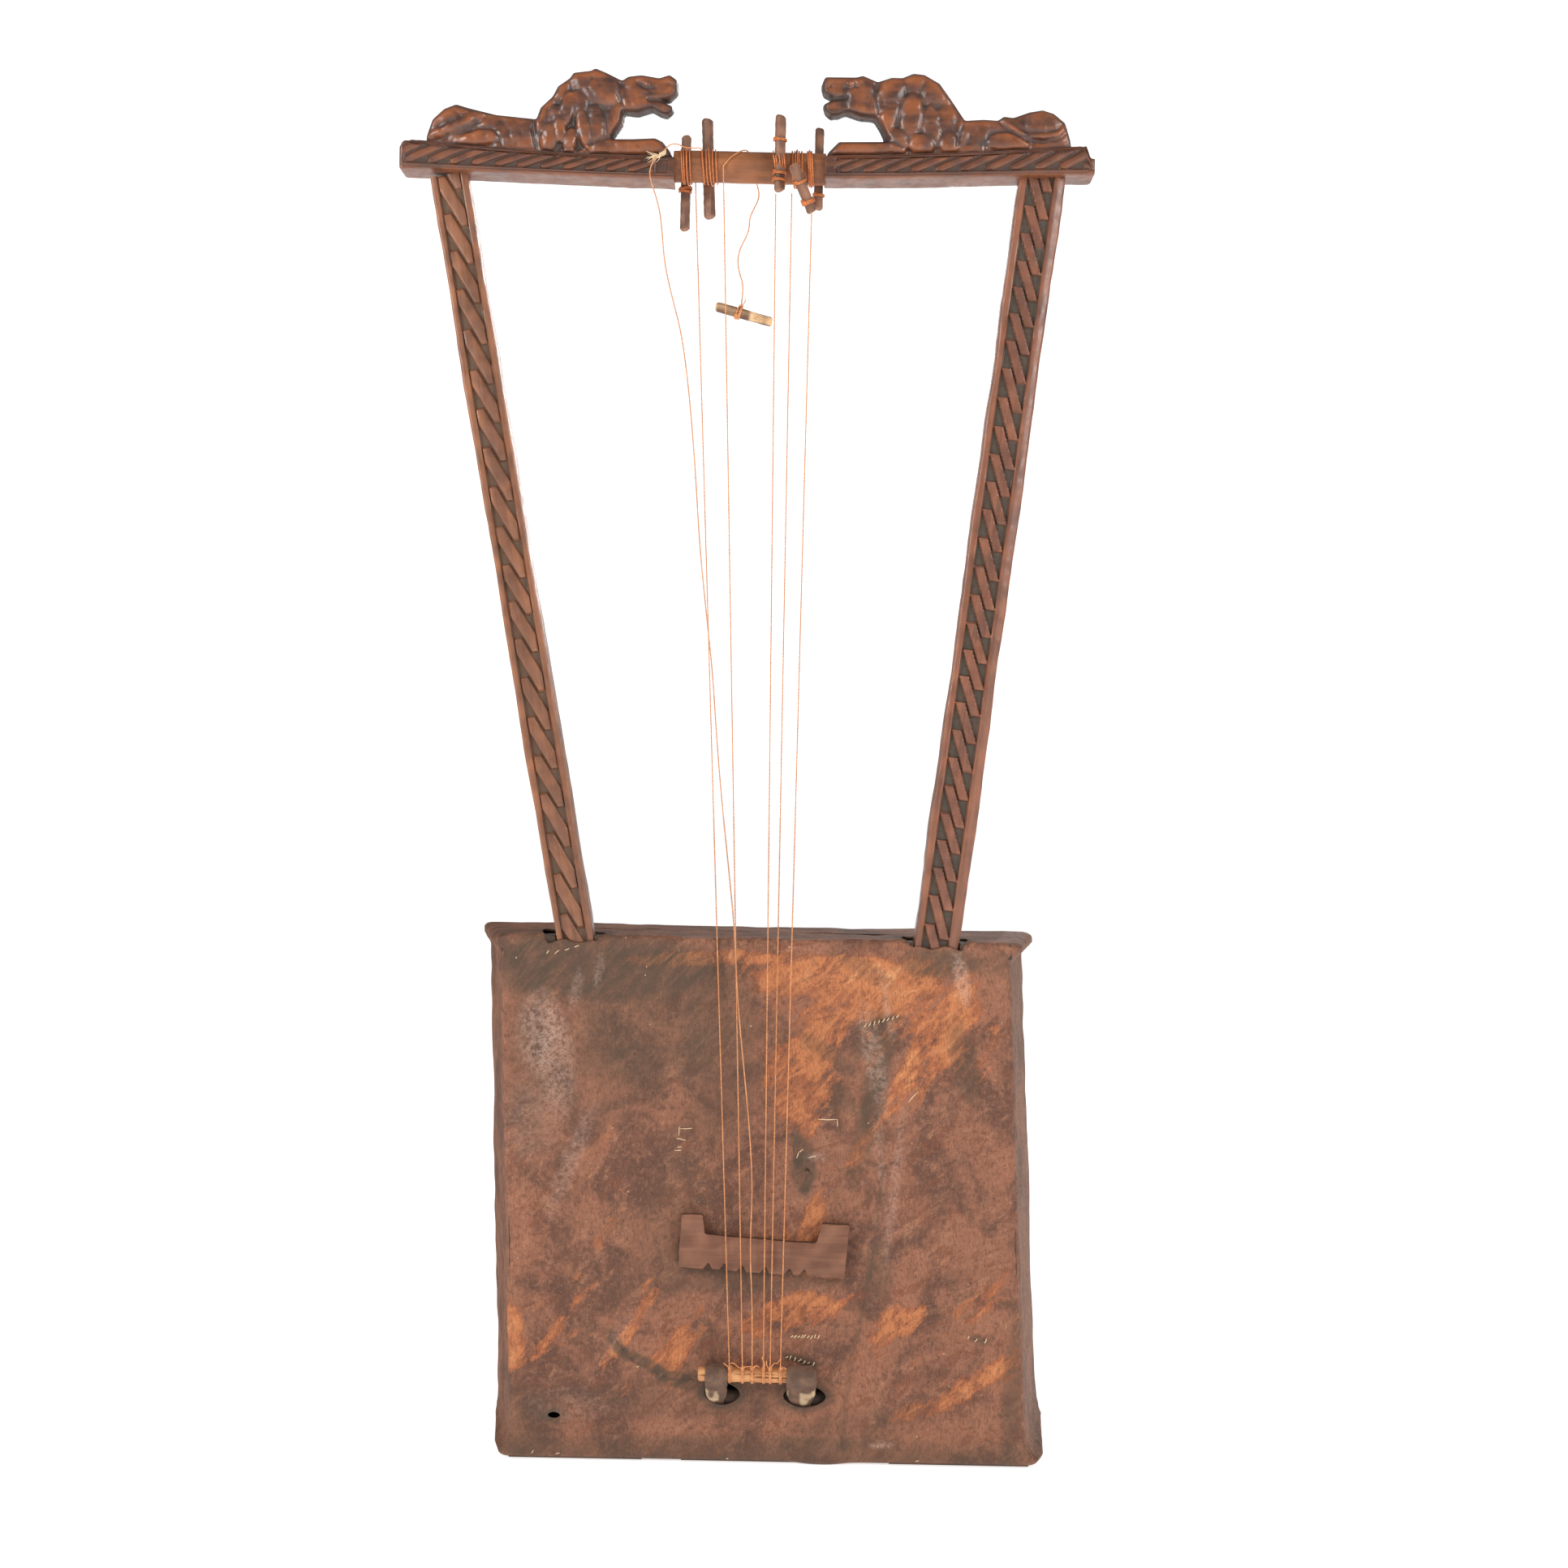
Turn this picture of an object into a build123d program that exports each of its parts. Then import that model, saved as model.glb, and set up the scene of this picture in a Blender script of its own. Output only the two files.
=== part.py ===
from build123d import *
import math
import os

# Ethiopian box lyre (begena family): a hide-covered box, two carved arms, a carved yoke with two
# resting lions, five tuning sticks lashed to the round middle of the yoke, gut strings, a loose
# bridge and a tail stick held by two leather straps.
#
# All places below are in millimetres: X to the right seen from the front, Z up from the base,
# and Y into the instrument, counted from the front of the soundboard hide. save() moves every
# piece so that the origin is in the middle of the underside of the box.

# ---- box -------------------------------------------------------------------------------------
BOX_HEIGHT = 415.4
BOX_DEPTH = 130.0
HIDE = 1.8                 # thickness of the wet-stretched cow hide
BOARD = 12.0               # thickness of the four frame boards
LIP_HEIGHT = 15.6          # height of the folds of hide over the ends of the top and bottom board
FRONT_BASE = (-202.8, 204.0)      # left and right edge of the front, at the base
BACK_BASE = (-231.3, 229.5)       # left and right edge of the back, at the base
LEAN_LEFT = -15.0                 # how far the left wall leans from base to top
LEAN_RIGHT = -21.5                # how far the right wall leans from base to top
# How far the folds, and the board ends inside them, stand out past the walls: front left, front
# right, back left, back right.
BASE_LIP = (9.0, 10.0, 1.0, 3.0)
TOP_LIP = (4.7, 9.5, 4.7, 9.5)
BASE_BOARD_LIP = (3.0, 4.0, 0.0, 0.0)
TOP_BOARD_LIP = (2.0, 4.0, 2.0, 4.0)
LEFT_SLIT = (-180.0, -138.0)      # openings in the top of the hide for the arms
RIGHT_SLIT = (103.5, 150.0)
SLIT_BACK = 31.0
WORN_HOLE = (-169.0, 35.0)        # X and Z of a small hole worn through the front
WORN_HOLE_REACH = (5.0, 2.2)
PEG_RADIUS = 2.5
PEG_LENGTH = 30.0
PEG_PLACES = (0.25, 0.75)         # shares of the box depth
PEG_CLEARANCE = 0.02
SEAM_X = -9.0
SEAM_STITCHES = 12
SEAM_MARGIN = 30.0                # from the base to the first stitch, and from the last to the top
STITCH_SIZE = (22.0, 1.6, 3.5)
STITCH_TURN = 35.0

# ---- arms ------------------------------------------------------------------------------------
ARM_FRONT = 2.0            # front of both arms, right behind the hide
ARM_DEPTH = 22.0
ARM_CLEARANCE = 0.5        # round the arms where they pass through the boards
LEFT_ARM_FOOT = (-83.7, 2.0)
LEFT_ARM_HEAD = (-270.5, 1008.7)
LEFT_ARM_WIDTH = 29.6
LEFT_ARM_BARS = 20
RIGHT_ARM_FOOT = (77.5, 2.0)
RIGHT_ARM_HEAD = (198.0, 1016.1)
RIGHT_ARM_WIDTH = 35.6
RIGHT_ARM_BARS = 29
CARVING_DEPTH = 2.5
CARVING_START = 8.0        # above the box
CARVING_END = 10.0         # below the yoke
FIELD_SHARE = 0.34         # part of each repeat of the carving that is sunk
RAIL = 5.5                 # plain rail down each side of the carving
TENON_HEIGHT = 12.0
TENON_INSET = 5.0

# ---- yoke ------------------------------------------------------------------------------------
YOKE_FRONT = -7.0
YOKE_DEPTH = 31.0
BAR_Y = 8.5
BAR_Z = 1024.8
BAR_RADIUS = 12.5
BAR_LEFT = -92.5
BAR_RIGHT = 25.8
BAR_TENON_RADIUS = 6.5
BAR_TENON_LENGTH = 25.0
TENON_CLEARANCE = 0.05
LEFT_BLOCK_LOW = [(-308.9, 1015.8), (-170.0, 1012.0), (BAR_LEFT, 1010.6)]
LEFT_BLOCK_TOP = [(BAR_LEFT, 1028.3), (-162.0, 1029.3), (-224.0, 1032.1), (-303.6, 1038.3), (-308.9, 1030.5)]
RIGHT_BLOCK_LOW = [(BAR_RIGHT, 1013.7), (79.5, 1014.7), (156.6, 1017.8), (238.2, 1020.8)]
RIGHT_BLOCK_TOP = [(238.2, 1033.0), (231.5, 1043.0), (188.0, 1040.0), (135.0, 1035.9), (79.5, 1033.2),
                   (BAR_RIGHT, 1031.4)]

# ---- lions -----------------------------------------------------------------------------------
LION_FRONT = -3.0
LION_DEPTH = 24.0

# ---- tuning sticks ---------------------------------------------------------------------------
WINDING_GAP = 0.3          # between the turns of string and the bar that they slide on
STRING_RADIUS = 0.5
STICK_CHAMFER = 0.8
LOOSE_STICK = ((-58.2, 5.0, 913.6), (-13.4, 5.0, 902.1), 4.3)     # two ends and radius
LOOSE_KNOT = ((-38.0, 5.0, 914.3), 1.9)                           # middle and radius

# ---- tail ------------------------------------------------------------------------------------
TAIL_Y = -7.5
TAIL_Z = 73.0
TAIL_RADIUS = 5.75
TAIL_ENDS = (-55.6, 36.0)
CROSSBAR_Y = 13.0
CROSSBAR_Z = 49.0
CROSSBAR_RADIUS = 7.0
CROSSBAR_SOCKET = 5.0
STRAP = 1.8
STRAP_GAP = 0.1
LEFT_STRAP = (-49.9, -32.4)
RIGHT_STRAP = (13.8, 37.4)
LEFT_STRAP_HOLE = (-52.7, -23.9)
RIGHT_STRAP_HOLE = (10.2, 44.6)
STRAP_HOLE_LOW = 45.0
STRAP_HOLE_HIGH = 62.5
STRAP_HOLE_TOP = 79.5
STRING_TAIL = (-13.2, 79.0)       # Y and Z where each string meets its knot
KNOT_RADIUS = 1.3

# ---- bridge ----------------------------------------------------------------------------------
BRIDGE_MIDDLE = (-7.3, 153.0)
BRIDGE_TURN = -3.2
BRIDGE_BACK = -0.4
BRIDGE_THICKNESS = 7.0
BRIDGE_LENGTH = 130.4
BRIDGE_BAR_HEIGHT = 26.0
BRIDGE_LEG_HEIGHT = 41.7
NOTCH_WIDTH = 7.8
NOTCH_DEPTH = 4.6
NOTCH_PLACES = (-42.5, -29.4, -15.5, 2.7, 21.5, 33.0)


os.makedirs("parts", exist_ok=True)


def save(name, shape):
    shape = Pos(0, -BOX_DEPTH / 2, 0) * shape
    shape.label = name
    export_step(shape, f"parts/{name}.step")


def prism(outline, front, depth):
    """Closed outline of (x, z) points, from y = front, depth deep into the instrument."""
    face = make_face(Polyline([(x, front, z) for x, z in outline], close=True))
    return extrude(face, amount=depth, dir=(0, 1, 0))


def block(x_range, y_range, z_range):
    size = [high - low for low, high in (x_range, y_range, z_range)]
    middle = [(high + low) / 2 for low, high in (x_range, y_range, z_range)]
    return Pos(*middle) * Box(*size)


def rod(start, end, radius):
    start = Vector(*start)
    end = Vector(*end)
    plane = Plane(origin=start, z_dir=end - start)
    return extrude(plane * Circle(radius), amount=(end - start).length)


def group(shapes):
    return Compound(children=list(shapes))


# ---- box -------------------------------------------------------------------------------------
def box_section(height, front, back, inset, y_inset):
    """Section of the box across, at a height: two slanted sides, a front and a back."""
    rise = height / BOX_HEIGHT
    left = LEAN_LEFT * rise
    right = LEAN_RIGHT * rise
    points = [
        (front[0] + left + inset, y_inset, height),
        (front[1] + right - inset, y_inset, height),
        (back[1] + right - inset, BOX_DEPTH - y_inset, height),
        (back[0] + left + inset, BOX_DEPTH - y_inset, height),
    ]
    return make_face(Polyline(points, close=True))


def box_body(low, high, lips=(0, 0, 0, 0), inset=0.0, y_inset=0.0):
    front = (FRONT_BASE[0] - lips[0], FRONT_BASE[1] + lips[1])
    back = (BACK_BASE[0] - lips[2], BACK_BASE[1] + lips[3])
    sections = [box_section(height, front, back, inset, y_inset) for height in (low, high)]
    return loft(sections, ruled=True)


def arm_solid(foot, head, width, extra=0.0):
    """One arm as a plain slanted beam, long enough to be trimmed at both ends."""
    lean = math.degrees(math.atan2(head[0] - foot[0], head[1] - foot[1]))
    length = math.hypot(head[0] - foot[0], head[1] - foot[1])
    overrun = 12.0
    beam = block(
        (-width / 2 - extra, width / 2 + extra),
        (ARM_FRONT - extra, ARM_FRONT + ARM_DEPTH + extra),
        (-overrun, length + overrun),
    )
    return Pos(foot[0], 0, foot[1]) * Rot(0, lean, 0) * beam


def arm_carving(foot, head, width, bars, slope):
    """Sunk fields between the slanted bars down the front of one arm."""
    lean = math.degrees(math.atan2(head[0] - foot[0], head[1] - foot[1]))
    length = math.hypot(head[0] - foot[0], head[1] - foot[1])
    low = (BOX_HEIGHT - foot[1]) + CARVING_START
    pitch = (length - low - CARVING_END) / bars
    half = width / 2 - RAIL
    drop = 2 * half * slope
    field = FIELD_SHARE * pitch
    outline = [(-half, 0), (-half, field), (half, field - drop), (half, -drop)]
    shape = prism(outline, ARM_FRONT - 1.0, CARVING_DEPTH + 1.0)
    place = Pos(foot[0], 0, foot[1]) * Rot(0, lean, 0)
    trim = block((-half, half), (ARM_FRONT - 2.0, ARM_FRONT + ARM_DEPTH), (low, length - 6.0))
    fields = [(Pos(0, 0, low + drop / 2 + index * pitch) * shape) & trim for index in range(bars + 1)]
    return [place * solid for solid in fields if solid is not None and solid.volume > 1.0]


left_arm_room = arm_solid(LEFT_ARM_FOOT, LEFT_ARM_HEAD, LEFT_ARM_WIDTH, ARM_CLEARANCE)
right_arm_room = arm_solid(RIGHT_ARM_FOOT, RIGHT_ARM_HEAD, RIGHT_ARM_WIDTH, ARM_CLEARANCE)

# Hide cover: one skin over the whole frame, open only at the arm slits and the strap holes.
lip_floor = BOX_HEIGHT - LIP_HEIGHT
outer = box_body(0, BOX_HEIGHT)
outer += box_body(0, LIP_HEIGHT, BASE_LIP)
outer += box_body(lip_floor, BOX_HEIGHT, TOP_LIP)
inner = box_body(HIDE, BOX_HEIGHT - HIDE, inset=HIDE, y_inset=HIDE)
inner += box_body(HIDE, LIP_HEIGHT - HIDE, BASE_LIP, HIDE, HIDE)
inner += box_body(lip_floor + HIDE, BOX_HEIGHT - HIDE, TOP_LIP, HIDE, HIDE)
hide = outer - inner
for slit in (LEFT_SLIT, RIGHT_SLIT):
    hide -= block(slit, (HIDE, SLIT_BACK), (BOX_HEIGHT - 2 * HIDE, BOX_HEIGHT + 1))
skin_y = (-1.0, HIDE + 1.0)
for strap, hole in ((LEFT_STRAP, LEFT_STRAP_HOLE), (RIGHT_STRAP, RIGHT_STRAP_HOLE)):
    hide -= block(hole, skin_y, (STRAP_HOLE_LOW, STRAP_HOLE_HIGH))
    hide -= block((strap[0] - 0.8, strap[1] + 0.8), skin_y, (STRAP_HOLE_HIGH - 1, STRAP_HOLE_TOP))
worn_plane = Plane(origin=(WORN_HOLE[0], skin_y[0], WORN_HOLE[1]), x_dir=(1, 0, 0), z_dir=(0, 1, 0))
worn_hole = worn_plane * Ellipse(*WORN_HOLE_REACH)
hide -= extrude(worn_hole, amount=HIDE + 2.0)
save("hide_cover", hide)

# Frame boards inside the hide.
bottom_board = box_body(HIDE, HIDE + BOARD, BASE_BOARD_LIP, HIDE, HIDE)
bottom_board -= left_arm_room
bottom_board -= right_arm_room
top_board = box_body(BOX_HEIGHT - HIDE - BOARD, BOX_HEIGHT - HIDE, TOP_BOARD_LIP, HIDE, HIDE)
top_board -= left_arm_room
top_board -= right_arm_room
wall_low = HIDE + BOARD
wall_high = BOX_HEIGHT - HIDE - BOARD
walls = box_body(wall_low, wall_high, inset=HIDE, y_inset=HIDE)
walls -= box_body(wall_low - 5, wall_high + 5, inset=HIDE + BOARD, y_inset=-5.0)
left_wall, right_wall = walls.solids().sort_by(Axis.X)

# Dowels through the boards into the ends of the walls, two at each corner.
pegs = []
for side, lean, inward in ((0, LEAN_LEFT, 1), (1, LEAN_RIGHT, -1)):
    for level, up in ((HIDE, 1), (BOX_HEIGHT - HIDE, -1)):
        for along in PEG_PLACES:
            far = level + up * PEG_LENGTH
            x = FRONT_BASE[side] + along * (BACK_BASE[side] - FRONT_BASE[side])
            x += inward * (HIDE + BOARD / 2) + lean * (level + far) / 2 / BOX_HEIGHT
            depth = along * BOX_DEPTH
            pegs.append(rod((x, depth, level + up), (x, depth, far), PEG_RADIUS))
            hole = rod((x, depth, level - up), (x, depth, far + 0.1 * up), PEG_RADIUS + PEG_CLEARANCE)
            bottom_board -= hole
            top_board -= hole
            left_wall -= hole
            right_wall -= hole
save("bottom_board", bottom_board)
save("top_board", top_board)
save("left_wall", left_wall)
save("right_wall", right_wall)
save("frame_dowels", group(pegs))

# Thong stitches down the seam in the middle of the back.
seam_pitch = (BOX_HEIGHT - 2 * SEAM_MARGIN) / (SEAM_STITCHES - 1)
stitches = []
for index in range(SEAM_STITCHES):
    place = Pos(SEAM_X, BOX_DEPTH + STITCH_SIZE[1] / 2, SEAM_MARGIN + index * seam_pitch)
    stitches.append(place * Rot(0, STITCH_TURN, 0) * Box(*STITCH_SIZE))
save("back_seam_thong", group(stitches))

# ---- yoke ------------------------------------------------------------------------------------
left_envelope = prism(LEFT_BLOCK_LOW + LEFT_BLOCK_TOP, YOKE_FRONT, YOKE_DEPTH)
right_envelope = prism(RIGHT_BLOCK_LOW + RIGHT_BLOCK_TOP, YOKE_FRONT, YOKE_DEPTH)


def arm_tenon(foot, head, width, grow=0.0):
    lean = math.degrees(math.atan2(head[0] - foot[0], head[1] - foot[1]))
    half = width / 2 - TENON_INSET + grow
    tongue = block(
        (-half, half),
        (ARM_FRONT + TENON_INSET - grow, ARM_FRONT + ARM_DEPTH - TENON_INSET + grow),
        (-6.0, TENON_HEIGHT + grow),
    )
    return Pos(head[0], 0, head[1]) * Rot(0, lean, 0) * tongue


def arm(foot, head, width, bars, slope, envelope):
    beam = arm_solid(foot, head, width)
    beam &= block((-400, 400), (-50, 100), (foot[1], head[1] + 20))
    beam -= envelope
    # Nothing of the beam may be left above the yoke block.
    beam = beam.solids().sort_by(Axis.Z)[0]
    beam += arm_tenon(foot, head, width)
    for field in arm_carving(foot, head, width, bars, slope):
        beam -= field
    return beam


left_arm = arm(LEFT_ARM_FOOT, LEFT_ARM_HEAD, LEFT_ARM_WIDTH, LEFT_ARM_BARS, 1.25, left_envelope)
right_arm = arm(RIGHT_ARM_FOOT, RIGHT_ARM_HEAD, RIGHT_ARM_WIDTH, RIGHT_ARM_BARS, 1.0, right_envelope)


def arm_side(foot, head, width, side, z):
    share = (z - foot[1]) / (head[1] - foot[1])
    centre = foot[0] + share * (head[0] - foot[0])
    return centre + side * width / 2


# Cross bar between the arms inside the box: the tail straps are looped round it.
crossbar_left = arm_side(LEFT_ARM_FOOT, LEFT_ARM_HEAD, LEFT_ARM_WIDTH, 1, CROSSBAR_Z) - CROSSBAR_SOCKET
crossbar_right = arm_side(RIGHT_ARM_FOOT, RIGHT_ARM_HEAD, RIGHT_ARM_WIDTH, -1, CROSSBAR_Z) + CROSSBAR_SOCKET
crossbar = rod((crossbar_left, CROSSBAR_Y, CROSSBAR_Z), (crossbar_right, CROSSBAR_Y, CROSSBAR_Z),
               CROSSBAR_RADIUS)
save("crossbar", crossbar)
left_arm -= crossbar
right_arm -= crossbar
save("left_arm", left_arm)
save("right_arm", right_arm)

# Round middle bar with a tenon at each end; the tenons sit at the middle of the blocks' ends.
left_tenon_z = (LEFT_BLOCK_LOW[-1][1] + LEFT_BLOCK_TOP[0][1]) / 2
right_tenon_z = (RIGHT_BLOCK_LOW[0][1] + RIGHT_BLOCK_TOP[-1][1]) / 2


def bar_tenon(end, direction, z, grow=0.0):
    far = end + direction * (BAR_TENON_LENGTH + grow)
    near = end - direction * 5.0
    return rod((near, BAR_Y, z), (far, BAR_Y, z), BAR_TENON_RADIUS + grow)


yoke_bar = rod((BAR_LEFT, BAR_Y, BAR_Z), (BAR_RIGHT, BAR_Y, BAR_Z), BAR_RADIUS)
yoke_bar += bar_tenon(BAR_LEFT, -1, left_tenon_z)
yoke_bar += bar_tenon(BAR_RIGHT, 1, right_tenon_z)
save("yoke_bar", yoke_bar)

left_block = left_envelope - bar_tenon(BAR_LEFT, -1, left_tenon_z, TENON_CLEARANCE)
left_block -= arm_tenon(LEFT_ARM_FOOT, LEFT_ARM_HEAD, LEFT_ARM_WIDTH, TENON_CLEARANCE)
right_block = right_envelope - bar_tenon(BAR_RIGHT, 1, right_tenon_z, TENON_CLEARANCE)
right_block -= arm_tenon(RIGHT_ARM_FOOT, RIGHT_ARM_HEAD, RIGHT_ARM_WIDTH, TENON_CLEARANCE)


def cable_fields(low, high, outer_x, inner_x, count):
    """Three-cornered sunk fields of the cable carving on a block's front, two to each twist."""
    fields = []
    for index in range(count):
        share = (index + 0.5) / count
        x = outer_x + share * (inner_x - outer_x)
        z_low = low[0] + share * (low[1] - low[0])
        z_high = high[0] + share * (high[1] - high[0])
        reach = abs(inner_x - outer_x) / count * 0.38
        middle = (z_low + z_high) / 2
        for base, tip in ((z_high, middle + 2.0), (z_low, middle - 2.0)):
            outline = [(x - reach, base), (x + reach, base), (x + reach * 0.4, tip)]
            fields.append(prism(outline, YOKE_FRONT - 1.0, CARVING_DEPTH))
    return fields


for field in cable_fields((1018.5, 1013.5), (1034.5, 1025.0), -298.0, -106.0, 10):
    left_block -= field
for field in cable_fields((1023.5, 1017.5), (1038.5, 1028.0), 224.0, 40.0, 10):
    right_block -= field
save("left_yoke_block", left_block)
save("right_yoke_block", right_block)


# ---- lions -----------------------------------------------------------------------------------
def lion(outline, base):
    """One resting lion in side outline, down to the sloping top of its block."""
    edge = Spline([(x, LION_FRONT, z) for x, z in outline])
    face = make_face(edge + Polyline([edge @ 1, *[(x, LION_FRONT, z) for x, z in base], edge @ 0]))
    return extrude(face, amount=LION_DEPTH, dir=(0, 1, 0))


# Rump, back, mane, head with open jaws, throat and foreleg, from the tail end to the paw.
left_back = [(-289.5, 1043), (-285, 1059), (-269, 1069), (-250, 1064), (-220, 1060), (-203, 1061),
             (-193, 1076), (-178, 1093), (-158, 1099), (-140, 1093), (-118, 1095), (-98, 1095),
             (-91.5, 1086), (-97, 1077), (-108, 1075.5), (-97, 1070), (-97, 1063), (-108, 1063),
             (-126, 1062.5), (-136, 1060), (-141, 1046), (-128, 1044), (-106, 1043), (-97, 1034)]
left_base = [(-97, 1028.9), (-162, 1029.3), (-224, 1032.1), (-289.5, 1037.1)]
save("left_lion", lion(left_back, left_base) - left_envelope)

right_back = [(219, 1049), (215, 1063), (197, 1073), (165, 1066), (150, 1064), (135, 1064),
              (124, 1079), (112, 1094), (94, 1100), (76, 1096), (52, 1098), (24, 1097),
              (18.5, 1089), (24, 1080), (34, 1077), (24, 1073), (22.5, 1065), (34, 1064.5),
              (52, 1064), (66, 1060), (73, 1048), (56, 1046.5), (36, 1045.5), (28, 1036)]
right_base = [(28, 1031.6), (79.5, 1033.2), (135, 1035.9), (188, 1040), (219, 1042.1)]
save("right_lion", lion(right_back, right_base) - right_envelope)


# ---- tuning sticks ---------------------------------------------------------------------------
def belt(centres, radii, grow=0.0):
    """Filled outline of a belt round two circles, in the plane of Y and Z."""
    circles = [Pos(*centre) * Circle(radius + grow) for centre, radius in zip(centres, radii)]
    return Plane.YZ * make_hull((circles[0] + circles[1]).edges())


def winding(x_range, centre, radius):
    """Turns of string round the bar and one stick, as one flat band."""
    centres = ((BAR_Y, BAR_Z), centre)
    radii = (BAR_RADIUS + WINDING_GAP, radius)
    length = x_range[1] - x_range[0]
    band = extrude(belt(centres, radii, 2 * STRING_RADIUS), amount=length)
    band -= extrude(belt(centres, radii), amount=length)
    return Pos(x_range[0], 0, 0) * band


STICKS = {
    # name: (upper end, lower end, radius, winding from and to along the bar)
    "1": ((-85.1, 26.0, 1054.8), (-85.1, 26.0, 979.2), 4.1, (-88.5, -79.0)),
    "2": ((-68.5, 26.4, 1068.7), (-65.2, 26.4, 989.4), 4.6, (-72.3, -58.3)),
    "3": ((-9.7, -9.0, 1060.8), (-9.7, -9.0, 1001.6), 4.4, (-15.5, -4.9)),
    "4": ((0.8, -26.0, 1017.7), (16.6, -12.0, 984.7), 4.4, (-0.5, 9.8)),
    "5": ((21.9, 25.9, 1062.8), (21.7, 25.9, 997.8), 3.8, (12.0, 17.0)),
}
# The fourth stick leans out below the bar, so its turns reach down to it: Y and Z of their lower bend.
LOW_BENDS = {"4": (-8.5, 1009.0)}
for name, (upper, lower, radius, span) in STICKS.items():
    stick = rod(lower, upper, radius)
    bend = LOW_BENDS.get(name, ((upper[1] + lower[1]) / 2, BAR_Z))
    save(f"tuning_stick_{name}", chamfer(stick.edges(), STICK_CHAMFER))
    save(f"tuning_winding_{name}", winding(span, bend, radius) - stick)

# ---- strings ---------------------------------------------------------------------------------
TAUT = {
    # name: (upper end, X at the tail)
    "1": ((-77.3, 21.6, 1024.0), -30.9),
    "2": ((-54.8, -4.6, 1024.0), -20.7),
    "3": ((-12.4, -5.0, 1000.6), -4.4),
    "4": ((0.2, 20.9, 1009.0), 0.9),
    "5": ((16.0, -17.4, 983.0), 8.9),
}
for name, (top, tail_x) in TAUT.items():
    save(f"string_{name}", rod(top, (tail_x, *STRING_TAIL), STRING_RADIUS))

SLACK_TAIL_X = -13.2
knots = []
for tail_x in [tail for _, tail in TAUT.values()] + [SLACK_TAIL_X]:
    loop_plane = Plane(origin=(tail_x, TAIL_Y, TAIL_Z), z_dir=(1, 0, 0))
    loop = loop_plane * Torus(TAIL_RADIUS + STRING_RADIUS + 0.03, STRING_RADIUS)
    ball = Pos(tail_x, -12.5, 78.4) * Sphere(KNOT_RADIUS)
    knots.append(loop + ball)
save("tail_knots", group(knots))


def cord(route, radius, name):
    """Round cord along straight runs joined by tangent arcs; prints its radii and its length."""
    points = [Vector(*point) for point in route]
    runs = [(b - a).length for a, b in zip(points, points[1:])]
    radii = []
    for index in range(1, len(points) - 1):
        turn = (points[index] - points[index - 1]).get_angle(points[index + 1] - points[index])
        shorter = min(runs[index - 1], runs[index])
        radii.append(0.45 * shorter / math.tan(math.radians(turn / 2)))
    path = FilletPolyline(*route, radius=radii)
    start = Plane(origin=path @ 0, z_dir=path % 0)
    tube = sweep(start * Circle(radius), path=path)
    expected = math.pi * radius ** 2 * path.length
    print(f"{name}: length {path.length:.1f}, radii {[round(value, 1) for value in radii]}")
    print(f"{name}: volume {tube.volume:.1f}, section times length {expected:.1f}")
    return tube


# Slack string: from the frayed knot on the left block down to the tail stick.
SLACK_ROUTE = [
    (-106.0, -9.6, 1027.0), (-111.0, -10.4, 1020.0), (-111.4, -10.8, 1010.0), (-107.0, -10.6, 998.0),
    (-102.8, -10.2, 984.0), (-100.6, -10.0, 966.0), (-98.6, -9.8, 944.0), (-92.4, -9.6, 918.0),
    (-84.4, -9.6, 890.0), (-79.0, -9.8, 856.0), (-74.4, -10.0, 816.0), (-70.4, -10.4, 772.0),
    (-66.8, -10.6, 724.0), (-61.0, -11.0, 674.0), (-54.6, -11.2, 624.0), (-50.6, -11.4, 574.0),
    (-45.4, -11.8, 522.0), (-39.0, -12.2, 470.0), (-33.2, -12.6, 420.0), (-30.4, -12.9, 370.0),
    (-24.6, -13.2, 318.0), (-18.8, -13.4, 268.0), (-15.4, -13.6, 220.0), (-16.8, -13.8, 172.0),
    (-13.6, -13.5, 124.0), (SLACK_TAIL_X, *STRING_TAIL),
]
save("slack_string", cord(SLACK_ROUTE, STRING_RADIUS, "slack_string"))

# Dangling string: from the underside of the bar to the loose stick.
DANGLING_ROUTE = [
    (-27.6, 8.5, 1012.0), (-25.6, 8.3, 1005.6), (-26.2, 8.0, 999.4), (-29.6, 7.8, 992.2), (-33.0, 7.4, 984.4),
    (-32.8, 7.0, 977.0), (-35.2, 6.8, 969.4), (-40.0, 6.6, 960.4), (-41.8, 6.4, 950.6), (-40.2, 6.2, 941.2),
    (-37.2, 6.0, 932.8), (-37.0, 5.6, 924.4), (-38.0, 5.0, 915.6),
]
save("dangling_string", cord(DANGLING_ROUTE, STRING_RADIUS, "dangling_string"))
loose_stick = rod(*LOOSE_STICK)
save("loose_tuning_stick", chamfer(loose_stick.edges(), STICK_CHAMFER))
save("loose_stick_knot", Pos(*LOOSE_KNOT[0]) * Sphere(LOOSE_KNOT[1]) - loose_stick)

# Frayed knot on the front of the left block, with the short link to the first winding.
frayed_knot = Plane(origin=(-104.5, -8.7, 1028.0), z_dir=(0.8, 0, 0.5)) * Cylinder(1.6, 10.0)
frayed_knot -= left_envelope
save("frayed_knot", frayed_knot)
LINK_ROUTE = [
    (-101.6, -8.9, 1030.6), (-96.4, -8.2, 1036.2), (-91.0, -6.4, 1037.6), (-84.6, -3.8, 1035.6),
    (-77.8, -3.0, 1035.0), (-73.6, -3.2, 1035.2),
]
save("link_string", cord(LINK_ROUTE, STRING_RADIUS, "link_string"))

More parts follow.
